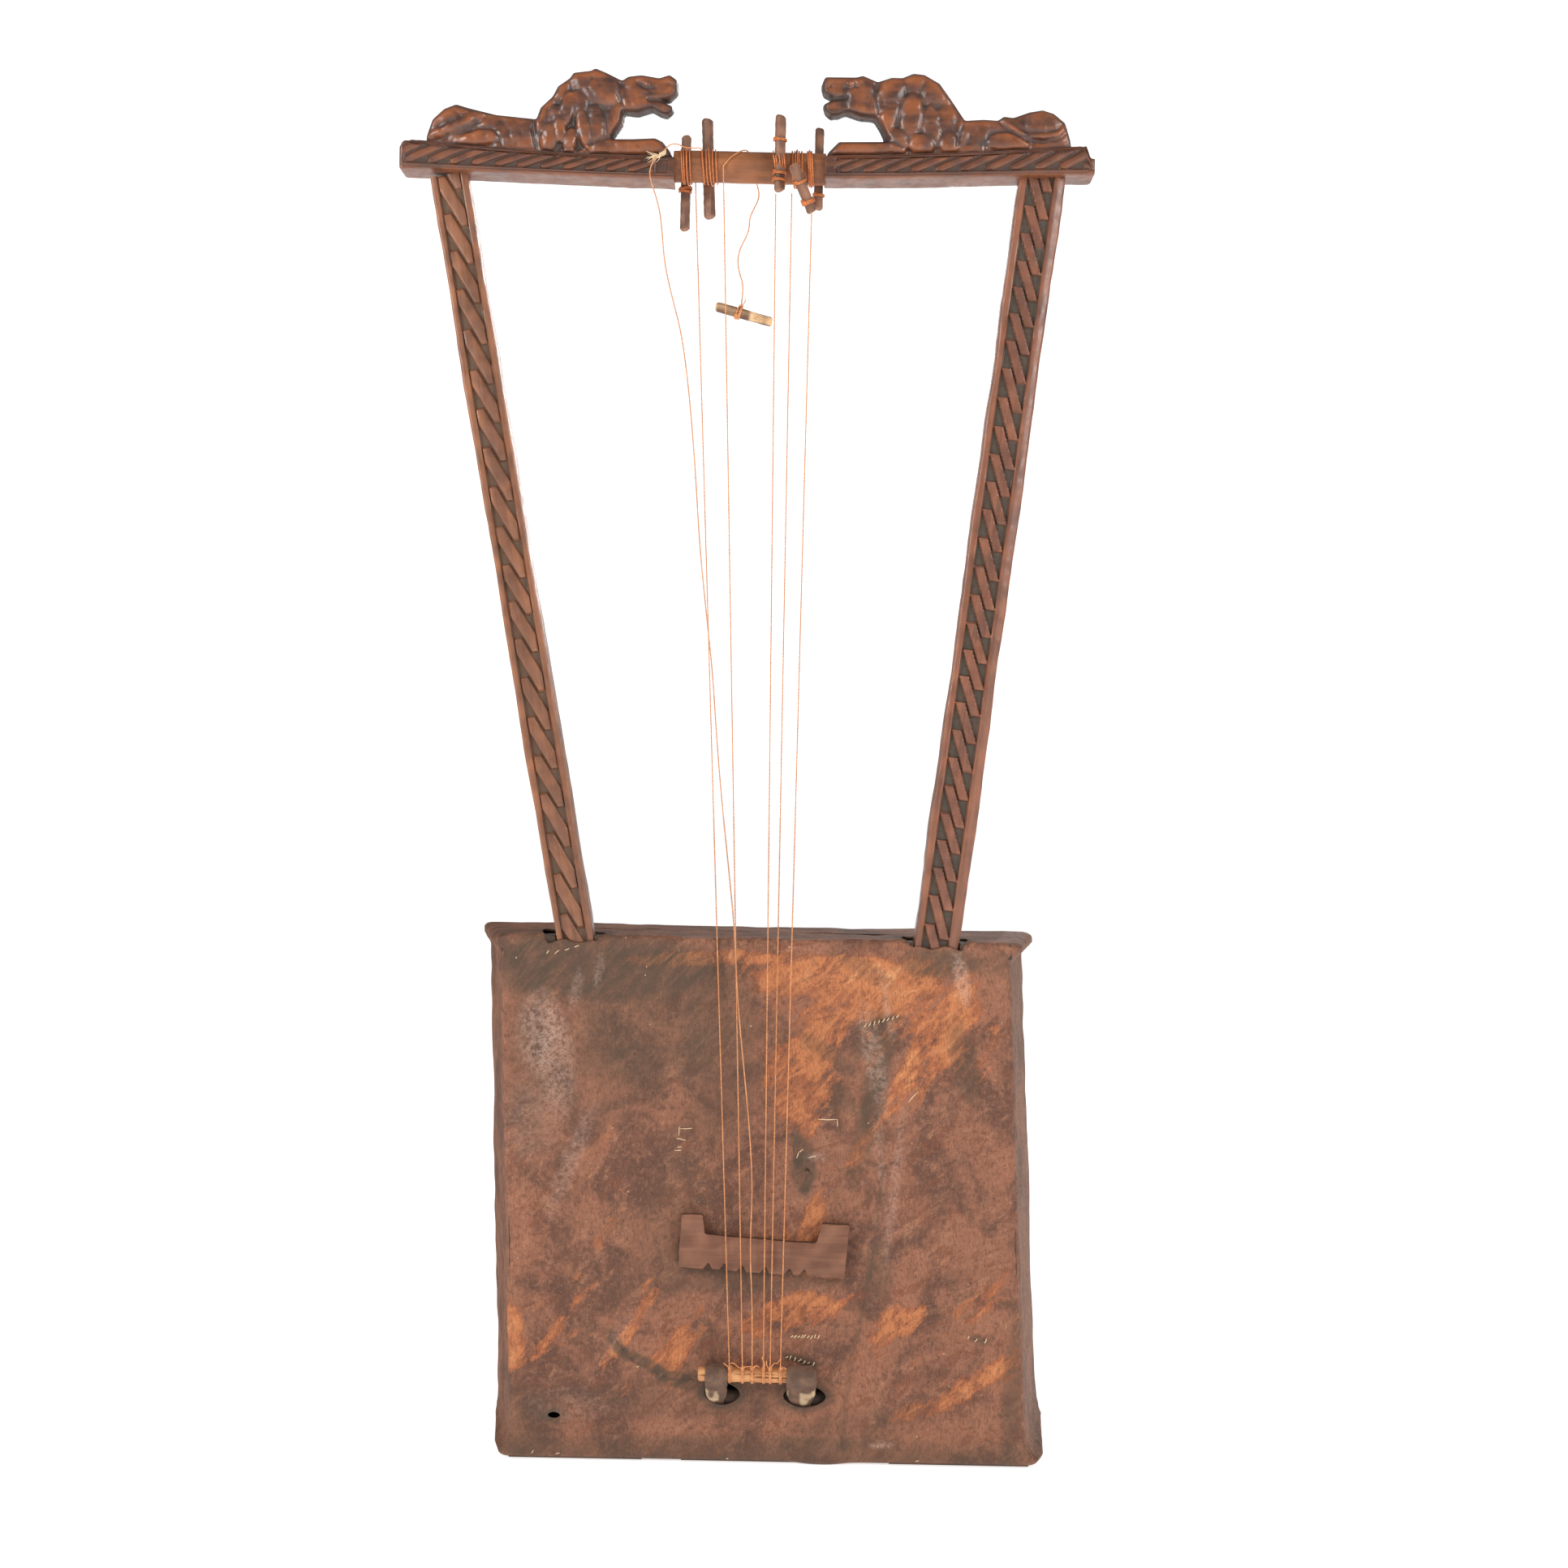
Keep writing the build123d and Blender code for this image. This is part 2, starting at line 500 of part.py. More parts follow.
# ---- tail ------------------------------------------------------------------------------------
tail_stick = rod((TAIL_ENDS[0], TAIL_Y, TAIL_Z), (TAIL_ENDS[1], TAIL_Y, TAIL_Z), TAIL_RADIUS)
save("tail_stick", tail_stick)
for name, span in (("left_tail_strap", LEFT_STRAP), ("right_tail_strap", RIGHT_STRAP)):
    centres = ((TAIL_Y, TAIL_Z), (CROSSBAR_Y, CROSSBAR_Z))
    radii = (TAIL_RADIUS + STRAP_GAP, CROSSBAR_RADIUS + STRAP_GAP)
    width = span[1] - span[0]
    strap = extrude(belt(centres, radii, STRAP), amount=width)
    strap -= extrude(belt(centres, radii), amount=width)
    save(name, Pos(span[0], 0, 0) * strap)

# ---- bridge ----------------------------------------------------------------------------------
half = BRIDGE_LENGTH / 2
lower_edge = [(-half, 0.0)]
for place in NOTCH_PLACES:
    lower_edge += [(place - NOTCH_WIDTH / 2, 0.0), (place, NOTCH_DEPTH), (place + NOTCH_WIDTH / 2, 0.0)]
lower_edge.append((half, 0.0))
upper_edge = [
    (half + 1.0, BRIDGE_LEG_HEIGHT), (half - 20.6, BRIDGE_LEG_HEIGHT), (half - 24.0, BRIDGE_BAR_HEIGHT),
    (-half + 18.6, BRIDGE_BAR_HEIGHT), (-half + 15.7, BRIDGE_LEG_HEIGHT), (-half, BRIDGE_LEG_HEIGHT),
]
bridge = prism(lower_edge + upper_edge, BRIDGE_BACK - BRIDGE_THICKNESS, BRIDGE_THICKNESS)
bridge = Pos(BRIDGE_MIDDLE[0], 0, BRIDGE_MIDDLE[1]) * Rot(0, -BRIDGE_TURN, 0) * bridge
save("bridge", bridge)
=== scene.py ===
import math

import bmesh
import bpy
import numpy as np
from mathutils import Matrix, Vector


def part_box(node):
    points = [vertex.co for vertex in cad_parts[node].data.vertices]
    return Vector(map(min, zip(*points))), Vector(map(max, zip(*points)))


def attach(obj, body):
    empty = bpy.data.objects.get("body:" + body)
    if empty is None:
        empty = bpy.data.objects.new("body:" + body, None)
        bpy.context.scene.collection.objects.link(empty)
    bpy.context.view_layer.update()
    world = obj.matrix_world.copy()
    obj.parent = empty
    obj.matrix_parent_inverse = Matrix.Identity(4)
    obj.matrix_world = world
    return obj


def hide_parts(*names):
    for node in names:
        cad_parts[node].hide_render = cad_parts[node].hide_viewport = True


# Box lyre of the Ethiopian begena family: a hide-covered box, two carved arms, a carved yoke with
# two resting lions, tuning sticks lashed to the yoke bar, gut strings, a fallen bridge and a tail
# stick held by two leather straps. Sizes below are in millimetres; X and Z are the row frame's,
# and Y is counted from the front of the hide into the instrument.

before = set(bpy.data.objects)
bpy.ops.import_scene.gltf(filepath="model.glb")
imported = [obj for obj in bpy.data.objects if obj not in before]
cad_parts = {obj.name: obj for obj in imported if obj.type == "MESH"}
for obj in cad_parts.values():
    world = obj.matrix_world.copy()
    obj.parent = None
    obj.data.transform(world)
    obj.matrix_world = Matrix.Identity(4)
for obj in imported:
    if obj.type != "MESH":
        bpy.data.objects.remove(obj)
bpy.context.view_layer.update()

MM = 0.001
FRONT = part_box("hide_cover")[0].y / MM
BOX_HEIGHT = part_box("hide_cover")[1].z / MM
BOX_DEPTH = (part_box("hide_cover")[1].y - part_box("hide_cover")[0].y) / MM


# ---- camera ----------------------------------------------------------------------------------
CAMERA_AT = (0.003, -1.615, 0.537)
CAMERA_ROLL = math.radians(1.1)
CAMERA_HALF_WIDTH = 618.24
CAMERA_DISTANCE = 1550.0
SENSOR_WIDTH = 36.0
CLIP_NEAR, CLIP_FAR = 0.05, 100.0

camera = bpy.data.objects.new("camera", bpy.data.cameras.new("camera"))
bpy.context.scene.collection.objects.link(camera)
camera.data.sensor_width = SENSOR_WIDTH
camera.data.lens = SENSOR_WIDTH / 2 * CAMERA_DISTANCE / CAMERA_HALF_WIDTH
right = (math.cos(CAMERA_ROLL), 0, math.sin(CAMERA_ROLL))
up = (-math.sin(CAMERA_ROLL), 0, math.cos(CAMERA_ROLL))
back = (0, -1, 0)
camera.matrix_world = Matrix.Translation(CAMERA_AT) @ Matrix((right, up, back)).transposed().to_4x4()
camera.data.clip_start = CLIP_NEAR
camera.data.clip_end = CLIP_FAR
bpy.context.scene.camera = camera


# ---- light -----------------------------------------------------------------------------------
LIGHT_TARGET = Vector((0, 0, 0.5))
AMBIENT_STRENGTH = 0.34
# Softboxes: place in metres, width and height in metres, power in watts.
SOFTBOXES = {
    "left_softbox": ((-1.5, -1.5, 1.35), (0.7, 0.9), 22),
    "right_softbox": ((1.5, -1.5, 1.35), (0.7, 0.9), 18),
    "back_softbox": ((0.6, 2.2, 1.6), (1.2, 1.2), 19),
}

for name, (place, size, power) in SOFTBOXES.items():
    lamp = bpy.data.lights.new(name, "AREA")
    lamp.shape = "RECTANGLE"
    lamp.size, lamp.size_y = size
    lamp.energy = power
    holder = bpy.data.objects.new(name, lamp)
    bpy.context.scene.collection.objects.link(holder)
    holder.location = place
    holder.rotation_mode = "QUATERNION"
    holder.rotation_quaternion = (LIGHT_TARGET - Vector(place)).to_track_quat("-Z", "Y")

world = bpy.data.worlds.new("studio")
world.use_nodes = True
world.node_tree.nodes["Background"].inputs["Color"].default_value = (1, 1, 1, 1)
world.node_tree.nodes["Background"].inputs["Strength"].default_value = AMBIENT_STRENGTH
bpy.context.scene.world = world
bpy.context.scene.view_settings.view_transform = "Standard"


# ---- materials -------------------------------------------------------------------------------
EVEN = (1, 1, 1)
UNTURNED = (0, 0, 0)


class Shader:
    """A node material, put together one node at a time. Sizes of patterns are in mm."""

    def __init__(self, name, roughness=0.5, specular=0.5, coat=0.0, coat_roughness=0.2, sheen=0.0):
        self.material = bpy.data.materials.new(name)
        self.material.use_nodes = True
        self.tree = self.material.node_tree
        self.surface = self.tree.nodes["Principled BSDF"]
        self.place = self.tree.nodes.new("ShaderNodeTexCoord").outputs["Object"]
        for socket, value in (("Roughness", roughness), ("Specular IOR Level", specular),
                              ("Coat Weight", coat), ("Coat Roughness", coat_roughness),
                              ("Sheen Weight", sheen)):
            self.surface.inputs[socket].default_value = value

    def node(self, kind, inputs, output=0, **settings):
        made = self.tree.nodes.new(kind)
        for key, value in settings.items():
            setattr(made, key, value)
        for key, value in inputs.items():
            self.join(value, made.inputs[key])
        return made.outputs[output]

    def join(self, value, socket):
        if isinstance(value, bpy.types.NodeSocket):
            self.tree.links.new(value, socket)
        elif isinstance(value, tuple) and len(value) == 3 and socket.type == "RGBA":
            socket.default_value = (*value, 1)
        else:
            socket.default_value = value

    def mapped(self, size, stretch, turn):
        turn = tuple(math.radians(angle) for angle in turn)
        scale = tuple(size * MM * factor for factor in stretch)
        return self.node("ShaderNodeMapping", {"Vector": self.place, "Rotation": turn, "Scale": scale},
                         vector_type="TEXTURE")

    def noise(self, size, stretch=EVEN, turn=UNTURNED, detail=4.0, rough=0.55, warp=0.0):
        return self.node("ShaderNodeTexNoise", {
            "Vector": self.mapped(size, stretch, turn), "Scale": 1.0, "Detail": detail,
            "Roughness": rough, "Distortion": warp})

    def cells(self, size):
        return self.node("ShaderNodeTexVoronoi", {"Vector": self.mapped(size, EVEN, UNTURNED), "Scale": 1.0})

    def value(self, name):
        return self.node("ShaderNodeAttribute", {}, output="Fac", attribute_name=name)

    def math(self, operation, first, second=0.0):
        return self.node("ShaderNodeMath", {0: first, 1: second}, operation=operation)

    def fade(self, source, low, high, to_low=0.0, to_high=1.0):
        return self.node("ShaderNodeMapRange", {"Value": source, "From Min": low, "From Max": high,
                                                "To Min": to_low, "To Max": to_high},
                         interpolation_type="SMOOTHSTEP")

    def mix(self, share, first, second):
        return self.node("ShaderNodeMix", {"Factor": share, 6: first, 7: second}, output=2, data_type="RGBA")

    def bump(self, height, depth, below=None):
        inputs = {"Height": height, "Strength": 1.0, "Distance": depth * MM}
        if below is not None:
            inputs["Normal"] = below
        return self.node("ShaderNodeBump", inputs)

    def finish(self, colour, roughness=None, normal=None):
        self.join(colour, self.surface.inputs["Base Color"])
        if roughness is not None:
            self.join(roughness, self.surface.inputs["Roughness"])
        if normal is not None:
            self.join(normal, self.surface.inputs["Normal"])
        return self.material


FIBRE_STRETCH = 14.0


def wood(name, dark, middle, light, pit, turn=UNTURNED, along=2, gloss=(0.25, 0.5), coat=0.0, grain=0.06,
         bare=None):
    """Carved or whittled wood: grain along one axis, rubbed high spots, and recesses darkened by grime and painted
    shade.
    """
    shader = Shader(name, coat=coat, coat_roughness=0.22)
    stretch = [1.0, 1.0, 1.0]
    stretch[along] = FIBRE_STRETCH
    fibres = shader.noise(1.6, stretch, turn, detail=6.0, rough=0.6)
    streaks = shader.noise(6.0, stretch, turn, detail=3.0)
    patches = shader.noise(22.0, EVEN, turn)
    colour = shader.mix(shader.fade(patches, 0.35, 0.68), dark, middle)
    colour = shader.mix(shader.fade(streaks, 0.42, 0.7, 0.0, 0.55), colour, light)
    colour = shader.mix(shader.fade(fibres, 0.3, 0.75, 0.35, 0.0), colour, pit)
    # worn lightens rubbed places; on the yoke's underside and on a rail of the right arm it is painted light.
    rubbed = shader.math("MULTIPLY", shader.value("worn"), shader.fade(patches, 0.3, 0.6, 0.35, 1.0))
    colour = shader.mix(rubbed, colour, bare or light)
    # deep darkens recesses, cracks and places next to other parts: grime and painted shade.
    grime_and_shade = shader.math("MULTIPLY", shader.value("deep"), shader.fade(shader.noise(3.5), 0.2, 0.6, 0.7, 1.0))
    colour = shader.mix(grime_and_shade, colour, pit)
    rough = shader.fade(shader.noise(9.0, detail=5.0), 0.3, 0.7, gloss[0], gloss[1])
    rough = shader.math("ADD", rough, shader.math("MULTIPLY", shader.value("deep"), 0.3))
    normal = shader.bump(fibres, grain)
    normal = shader.bump(shader.noise(5.0, detail=3.0), grain * 3.0, normal)
    return shader.finish(colour, rough, normal)


LEFT_LEAN = (0, -10.5, 0)
RIGHT_LEAN = (0, 6.8, 0)
CARVED = {
    "dark": (0.084, 0.031, 0.020), "middle": (0.145, 0.050, 0.028), "light": (0.235, 0.078, 0.032),
    "pit": (0.062, 0.038, 0.026),
}
LION = {
    "dark": (0.058, 0.026, 0.019), "middle": (0.108, 0.040, 0.025), "light": (0.285, 0.086, 0.028),
    "pit": (0.036, 0.023, 0.018),
}
MATERIALS = {
    "left_arm": wood("left_arm_wood", (0.16, 0.062, 0.033), (0.25, 0.094, 0.046), (0.39, 0.150, 0.066),
                     (0.110, 0.062, 0.034), LEFT_LEAN, gloss=(0.28, 0.5), coat=0.15),
    "right_arm": wood("right_arm_wood", (0.16, 0.058, 0.034), (0.25, 0.086, 0.046), (0.38, 0.140, 0.070),
                      (0.065, 0.048, 0.032), RIGHT_LEAN, gloss=(0.28, 0.5), coat=0.15),
    "block": wood("yoke_wood", along=0, gloss=(0.24, 0.48), coat=0.08, **CARVED),
    "lion": wood("lion_wood", along=0, gloss=(0.24, 0.44), coat=0.28, grain=0.04, **LION),
    "bar": wood("bar_wood", (0.185, 0.062, 0.021), (0.280, 0.094, 0.031), (0.380, 0.140, 0.050),
                (0.085, 0.031, 0.014), along=0, gloss=(0.5, 0.7), grain=0.05),
    "stick": wood("stick_wood", (0.10, 0.046, 0.028), (0.19, 0.086, 0.052), (0.33, 0.150, 0.085),
                  (0.05, 0.028, 0.018), gloss=(0.45, 0.7), grain=0.08),
    "split_stick": wood("split_stick_wood", (0.11, 0.050, 0.030), (0.19, 0.086, 0.050), (0.32, 0.150, 0.080),
                        (0.05, 0.028, 0.018), along=0, gloss=(0.45, 0.7), grain=0.12,
                        bare=(0.86, 0.560, 0.300)),
    "tail": wood("tail_wood", (0.40, 0.145, 0.048), (0.56, 0.225, 0.075), (0.70, 0.340, 0.135),
                 (0.20, 0.070, 0.026), along=0, gloss=(0.35, 0.55), grain=0.1),
    "bridge": wood("bridge_wood", (0.165, 0.060, 0.030), (0.205, 0.075, 0.037), (0.34, 0.150, 0.080),
                   (0.080, 0.034, 0.020), along=0, gloss=(0.5, 0.72), grain=0.10),
    "board": wood("board_wood", (0.050, 0.030, 0.020), (0.085, 0.050, 0.032), (0.14, 0.085, 0.050),
                  (0.020, 0.012, 0.008), along=0, gloss=(0.7, 0.9), grain=0.1),
}


def gut(name, thin, thick, pitch, radius=0.5):
    """Twisted gut or sinew: fine slanted strands, painted lighter where they stand out and darker between them, as
    painted light and shade.
    """
    shader = Shader(name, roughness=0.45, specular=0.4)
    strands = shader.noise(pitch, (1, 1, 0.35), (0, 24, 0), detail=2.0)
    patches = shader.noise(14.0, detail=2.0)
    colour = shader.mix(shader.fade(strands, 0.35, 0.62), thin, thick)
    colour = shader.mix(shader.fade(patches, 0.4, 0.65, 0.0, 0.5), colour, thin)
    return shader.finish(colour, None, shader.bump(strands, radius * 0.3))


MATERIALS["gut"] = gut("gut", (0.50, 0.175, 0.060), (0.88, 0.400, 0.170), 1.4)
MATERIALS["turns"] = gut("gut_turns", (0.42, 0.110, 0.030), (0.80, 0.270, 0.085), 1.4)
MATERIALS["slack"] = gut("slack_gut", (0.50, 0.190, 0.080), (0.82, 0.390, 0.180), 1.4)
MATERIALS["fibre"] = gut("raw_fibre", (0.66, 0.450, 0.250), (0.95, 0.800, 0.540), 0.8, 0.3)


def leather(name, dark, light, under):
    """Creased leather with pores, worn down to its paler inside in places."""
    shader = Shader(name, roughness=0.6, specular=0.35, sheen=0.08)
    pores = shader.cells(0.9)
    creases = shader.noise(3.0, (1, 1, 2.5), detail=6.0, rough=0.65)
    patches = shader.noise(8.0, detail=5.0)
    colour = shader.mix(shader.fade(patches, 0.35, 0.68), dark, light)
    colour = shader.mix(shader.math("MULTIPLY", shader.value("worn"),
                                    shader.fade(patches, 0.25, 0.6, 0.55, 1.0)), colour, under)
    normal = shader.bump(pores, 0.12)
    normal = shader.bump(creases, 0.35, normal)
    return shader.finish(colour, shader.fade(patches, 0.3, 0.7, 0.45, 0.75), normal)


RAWHIDE = (0.55, 0.40, 0.24)
MATERIALS["strap"] = leather("strap_leather", (0.105, 0.055, 0.034), (0.20, 0.110, 0.068), RAWHIDE)
MATERIALS["thong"] = leather("thong_leather", (0.16, 0.085, 0.050), (0.34, 0.200, 0.120), RAWHIDE)


def hide_material():
    """Wet-stretched cow hide, red-brown, rubbed to orange in slanted streaks and patches."""
    shader = Shader("hide", specular=0.16)
    slant = (0, 42, 0)
    clouds = shader.noise(48.0, detail=8.0, rough=0.62, warp=0.7)
    blotches = shader.noise(15.0, (1, 1, 1.6), slant, detail=10.0, rough=0.70, warp=0.5)
    streaks = shader.noise(6.5, (1, 1, 4.5), slant, detail=10.0, rough=0.74, warp=0.3)
    veins = shader.noise(11.0, (1, 1, 5.0), (0, 50, 0), detail=9.0, rough=0.66, warp=0.5)
    weave = shader.noise(1.2, (1, 1, 4.5), (0, -3, 0), detail=3.0, rough=0.6)
    grain = shader.noise(1.2, detail=5.0, rough=0.75)
    mottle = shader.noise(3.6, detail=7.0, rough=0.70)
    pores = shader.cells(1.6)
    colour = shader.mix(shader.fade(clouds, 0.38, 0.60), (0.142, 0.067, 0.045), (0.335, 0.141, 0.082))
    colour = shader.mix(shader.fade(blotches, 0.48, 0.66, 0.0, 0.6), colour, (0.360, 0.166, 0.102))
    colour = shader.mix(shader.fade(mottle, 0.50, 0.64, 0.0, 0.34), colour, (0.425, 0.206, 0.130))
    colour = shader.mix(shader.fade(mottle, 0.36, 0.48, 0.55, 0.0), colour, (0.105, 0.052, 0.037))
    # Rubbed places: the brown skin is gone in patches with ragged edges, darker at their rims.
    wear = shader.math("ADD", shader.math("MULTIPLY", streaks, 0.58), shader.math("MULTIPLY", blotches, 0.42))
    wear = shader.math("ADD", wear, shader.math("MULTIPLY", shader.value("rubbed"), 0.26))
    wear = shader.math("ADD", wear, shader.math("MULTIPLY", mottle, 0.10))
    wear = shader.math("ADD", wear, shader.math("MULTIPLY", grain, 0.06))
    colour = shader.mix(shader.fade(wear, 0.715, 0.755, 0.0, 0.85), colour, (0.400, 0.130, 0.055))
    colour = shader.mix(shader.fade(wear, 0.765, 0.820, 0.0, 0.9), colour, (0.560, 0.205, 0.082))
    colour = shader.mix(shader.fade(wear, 0.860, 0.930, 0.0, 0.85), colour, (0.690, 0.320, 0.140))
    islands = shader.noise(10.0, (1, 1, 2.6), (0, 62, 0), detail=9.0, rough=0.70, warp=0.6)
    colour = shader.mix(shader.fade(islands, 0.565, 0.605, 0.0, 0.62), colour, (0.215, 0.078, 0.043))
    ridge = shader.math("ABSOLUTE", shader.math("SUBTRACT", veins, 0.5))
    line = shader.fade(ridge, 0.004, 0.016, 1.0, 0.0)
    line = shader.math("MULTIPLY", line, shader.fade(blotches, 0.50, 0.62, 0.0, 0.6))
    colour = shader.mix(line, colour, (0.560, 0.250, 0.120))
    colour = shader.mix(shader.fade(weave, 0.34, 0.54, 0.42, 0.0), colour, (0.100, 0.046, 0.031))
    colour = shader.mix(shader.fade(grain, 0.59, 0.67, 0.0, 0.50), colour, (0.540, 0.300, 0.195))
    colour = shader.mix(shader.fade(grain, 0.35, 0.44, 0.60, 0.0), colour, (0.085, 0.040, 0.029))
    # The dark value darkens the skin; besides darker patches it holds painted shade along a crease and a painted
    # shadow of the bridge.
    shade = shader.math("MULTIPLY", shader.value("dark"), shader.fade(streaks, 0.40, 0.62, 1.0, 0.62))
    colour = shader.mix(shade, colour, (0.092, 0.062, 0.042))
    # Painted sheen: pale highlights painted into the colour where the pale value is set.
    sheen = shader.math("MULTIPLY", shader.value("pale"), shader.fade(mottle, 0.38, 0.60, 0.15, 1.0))
    sheen = shader.math("MULTIPLY", sheen, shader.fade(grain, 0.38, 0.6, 0.3, 1.0))
    colour = shader.mix(sheen, colour, (0.620, 0.430, 0.340))
    fleck = shader.math("ADD", shader.cells(13.0), shader.fade(blotches, 0.35, 0.60, 0.05, 0.0))
    colour = shader.mix(shader.fade(fleck, 0.035, 0.055, 0.8, 0.0), colour, (0.690, 0.520, 0.340))
    rough = shader.fade(grain, 0.3, 0.7, 0.55, 0.36)
    rough = shader.math("SUBTRACT", rough, shader.math("MULTIPLY", shader.value("pale"), 0.10))
    rough = shader.math("ADD", rough, shader.math("MULTIPLY", shader.value("matt"), 0.45))
    normal = shader.bump(pores, 0.16)
    normal = shader.bump(grain, 0.24, normal)
    normal = shader.bump(weave, 0.14, normal)
    normal = shader.bump(mottle, 0.45, normal)
    normal = shader.bump(streaks, 0.7, normal)
    return shader.finish(colour, rough, normal)


MATERIALS["hide"] = hide_material()


# ---- mesh helpers ----------------------------------------------------------------------------
def row(points):
    """Points in mm, Y from the front of the hide, as metres in the row frame."""
    moved = np.array(points, float).reshape(-1, 3)
    moved[:, 1] += FRONT
    return moved * MM


DRIFT_WAVES = 12
DRIFT_SIZE = 0.6


def around(count):
    """Angles of some points spread evenly over one round."""
    return np.linspace(0, 2 * math.pi, count, endpoint=False)


def drift(points, length, seed):
    """Smooth random field of about -1 to 1 that changes over the given length in mm."""
    chance = np.random.default_rng(seed)
    points = np.asarray(points, float)
    heading = chance.normal(size=(DRIFT_WAVES, points.shape[1]))
    heading *= 2 * math.pi / length / np.linalg.norm(heading, axis=1, keepdims=True)
    phase = chance.uniform(0, 2 * math.pi, DRIFT_WAVES)
    return np.cos(points @ heading.T + phase).sum(1) * math.sqrt(2.0 / DRIFT_WAVES) * DRIFT_SIZE


def smoothstep(low, high, value):
    """0 up to low and 1 from high on, or the other way round if low is the larger."""
    share = np.clip((np.asarray(value, float) - low) / (high - low), 0, 1)
    return share * share * (3 - 2 * share)


def merge(parts):
    """One set of points and faces out of several."""
    points, faces, start = [], [], 0
    for part_points, part_faces in parts:
        points.append(np.asarray(part_points, float))
        faces += [[corner + start for corner in face] for face in part_faces]
        start += len(part_points)
    return np.vstack(points), faces


def mesh_piece(name, points, faces, body, material, replaces=(), sharp=35.0, values=None):
    """A mesh with smooth shading that rides on a body. values are numbers for each point."""
    mesh = bpy.data.meshes.new(name)
    mesh.from_pydata(row(points).tolist(), [], faces)
    for key, numbers in (values or {}).items():
        layer = mesh.attributes.new(key, "FLOAT", "POINT")
        layer.data.foreach_set("value", np.asarray(numbers, np.float32))
    work = bmesh.new()
    work.from_mesh(mesh)
    bmesh.ops.recalc_face_normals(work, faces=work.faces)
    work.to_mesh(mesh)
    work.free()
    mesh.shade_smooth()
    mesh.set_sharp_from_angle(angle=math.radians(sharp))
    piece = bpy.data.objects.new(name, mesh)
    bpy.context.scene.collection.objects.link(piece)
    mesh.materials.append(MATERIALS[material])
    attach(piece, body)
    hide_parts(*replaces)
    return piece


def ring_faces(rings, corners, caps=True):
    """Faces of a closed skin of rings that have the same number of corners."""
    index = np.arange(rings * corners).reshape(rings, corners)
    after = np.roll(index, -1, axis=1)
    quads = np.stack([index[:-1], after[:-1], after[1:], index[1:]], -1).reshape(-1, 4).tolist()
    if caps:
        quads += [index[0][::-1].tolist(), index[-1].tolist()]
    return quads


def smooth_path(points, step=0.8):
    """Points close together on a smooth curve through the given ones."""
    points = np.asarray(points, float)
    padded = np.vstack([2 * points[0] - points[1], points, 2 * points[-1] - points[-2]])
    made = []
    for a, b, c, d in zip(padded, padded[1:], padded[2:], padded[3:]):
        count = max(2, int(np.linalg.norm(c - b) / step))
        t = np.linspace(0, 1, count, endpoint=False)[:, None]
        made.append(0.5 * (2 * b + (c - a) * t + (2 * a - 5 * b + 4 * c - d) * t ** 2
                           + (3 * b - a - 3 * c + d) * t ** 3))
    return np.vstack([*made, points[-1:]])


def tube(path, radius, sides=8, closed=False):
    """Tube along a path. radius is one number, or numbers for each point or each ring corner."""
    path = np.asarray(path, float)
    count = len(path)
    ahead = np.roll(path, -1, 0) - np.roll(path, 1, 0)
    if not closed:
        ahead[0] = path[1] - path[0]
        ahead[-1] = path[-1] - path[-2]
    ahead /= np.linalg.norm(ahead, axis=1, keepdims=True)
    side = np.cross(ahead[0], (0.31, 0.53, 0.79))
    sides_out = np.zeros((count, 3))
    for index in range(count):
        side = side - ahead[index] * (side @ ahead[index])
        side = side / np.linalg.norm(side)
        sides_out[index] = side
    other = np.cross(ahead, sides_out)
    angles = around(sides)
    radius = np.asarray(radius, float)
    if radius.ndim == 1:
        radius = radius[:, None]
    reach = np.broadcast_to(radius, (count, sides))[..., None]
    points = (path[:, None] + reach * (np.cos(angles)[None, :, None] * sides_out[:, None]
                                       + np.sin(angles)[None, :, None] * other[:, None]))
    points = points.reshape(-1, 3)
    faces = ring_faces(count, sides, caps=not closed)
    if closed:
        last = np.arange(sides) + (count - 1) * sides
        first = np.arange(sides)
        # The frame may have turned a little over one round, so the nearest corners are joined.
        gap = np.linalg.norm(points[last[0]] - points[first], axis=1)
        first = np.roll(first, -int(np.argmin(gap)))
        faces += np.stack([last, np.roll(last, -1), np.roll(first, -1), first], -1).tolist()
    return points, faces


STRING_RADIUS = 0.5
STRING_STRANDS = 2
STRING_SIDES = 8
STRING_GROOVE = 0.2


def twisted(path, lay):
    """String with strands that wind round it, one round in each lay, in mm."""
    path = np.asarray(path, float)
    run = np.concatenate([[0], np.cumsum(np.linalg.norm(np.diff(path, axis=0), axis=1))])
    wave = np.cos(STRING_STRANDS * (around(STRING_SIDES)[None, :] - 2 * math.pi * run[:, None] / lay))
    return tube(path, STRING_RADIUS * (1 - STRING_GROOVE / 2 + STRING_GROOVE / 2 * wave), STRING_SIDES)


# ---- free strings ----------------------------------------------------------------------------
SLACK_ROUTE = [
    (-106.0, -9.6, 1027.0), (-111.0, -10.4, 1020.0), (-111.4, -10.8, 1010.0), (-107.0, -10.6, 998.0),
    (-102.8, -10.2, 984.0), (-100.6, -10.0, 966.0), (-98.6, -9.8, 944.0), (-92.4, -9.6, 918.0),
    (-84.4, -9.6, 890.0), (-79.0, -9.8, 856.0), (-74.4, -10.0, 816.0), (-70.4, -10.4, 772.0),
    (-66.8, -10.6, 724.0), (-61.0, -11.0, 674.0), (-54.6, -11.2, 624.0), (-50.6, -11.4, 574.0),
    (-45.4, -11.8, 522.0), (-39.0, -12.2, 470.0), (-33.2, -12.6, 420.0), (-30.4, -12.9, 370.0),
    (-24.6, -13.2, 318.0), (-18.8, -13.4, 268.0), (-15.4, -13.6, 220.0), (-16.8, -13.8, 172.0),
    (-13.6, -13.5, 124.0), (-13.2, -13.2, 79.0),
]
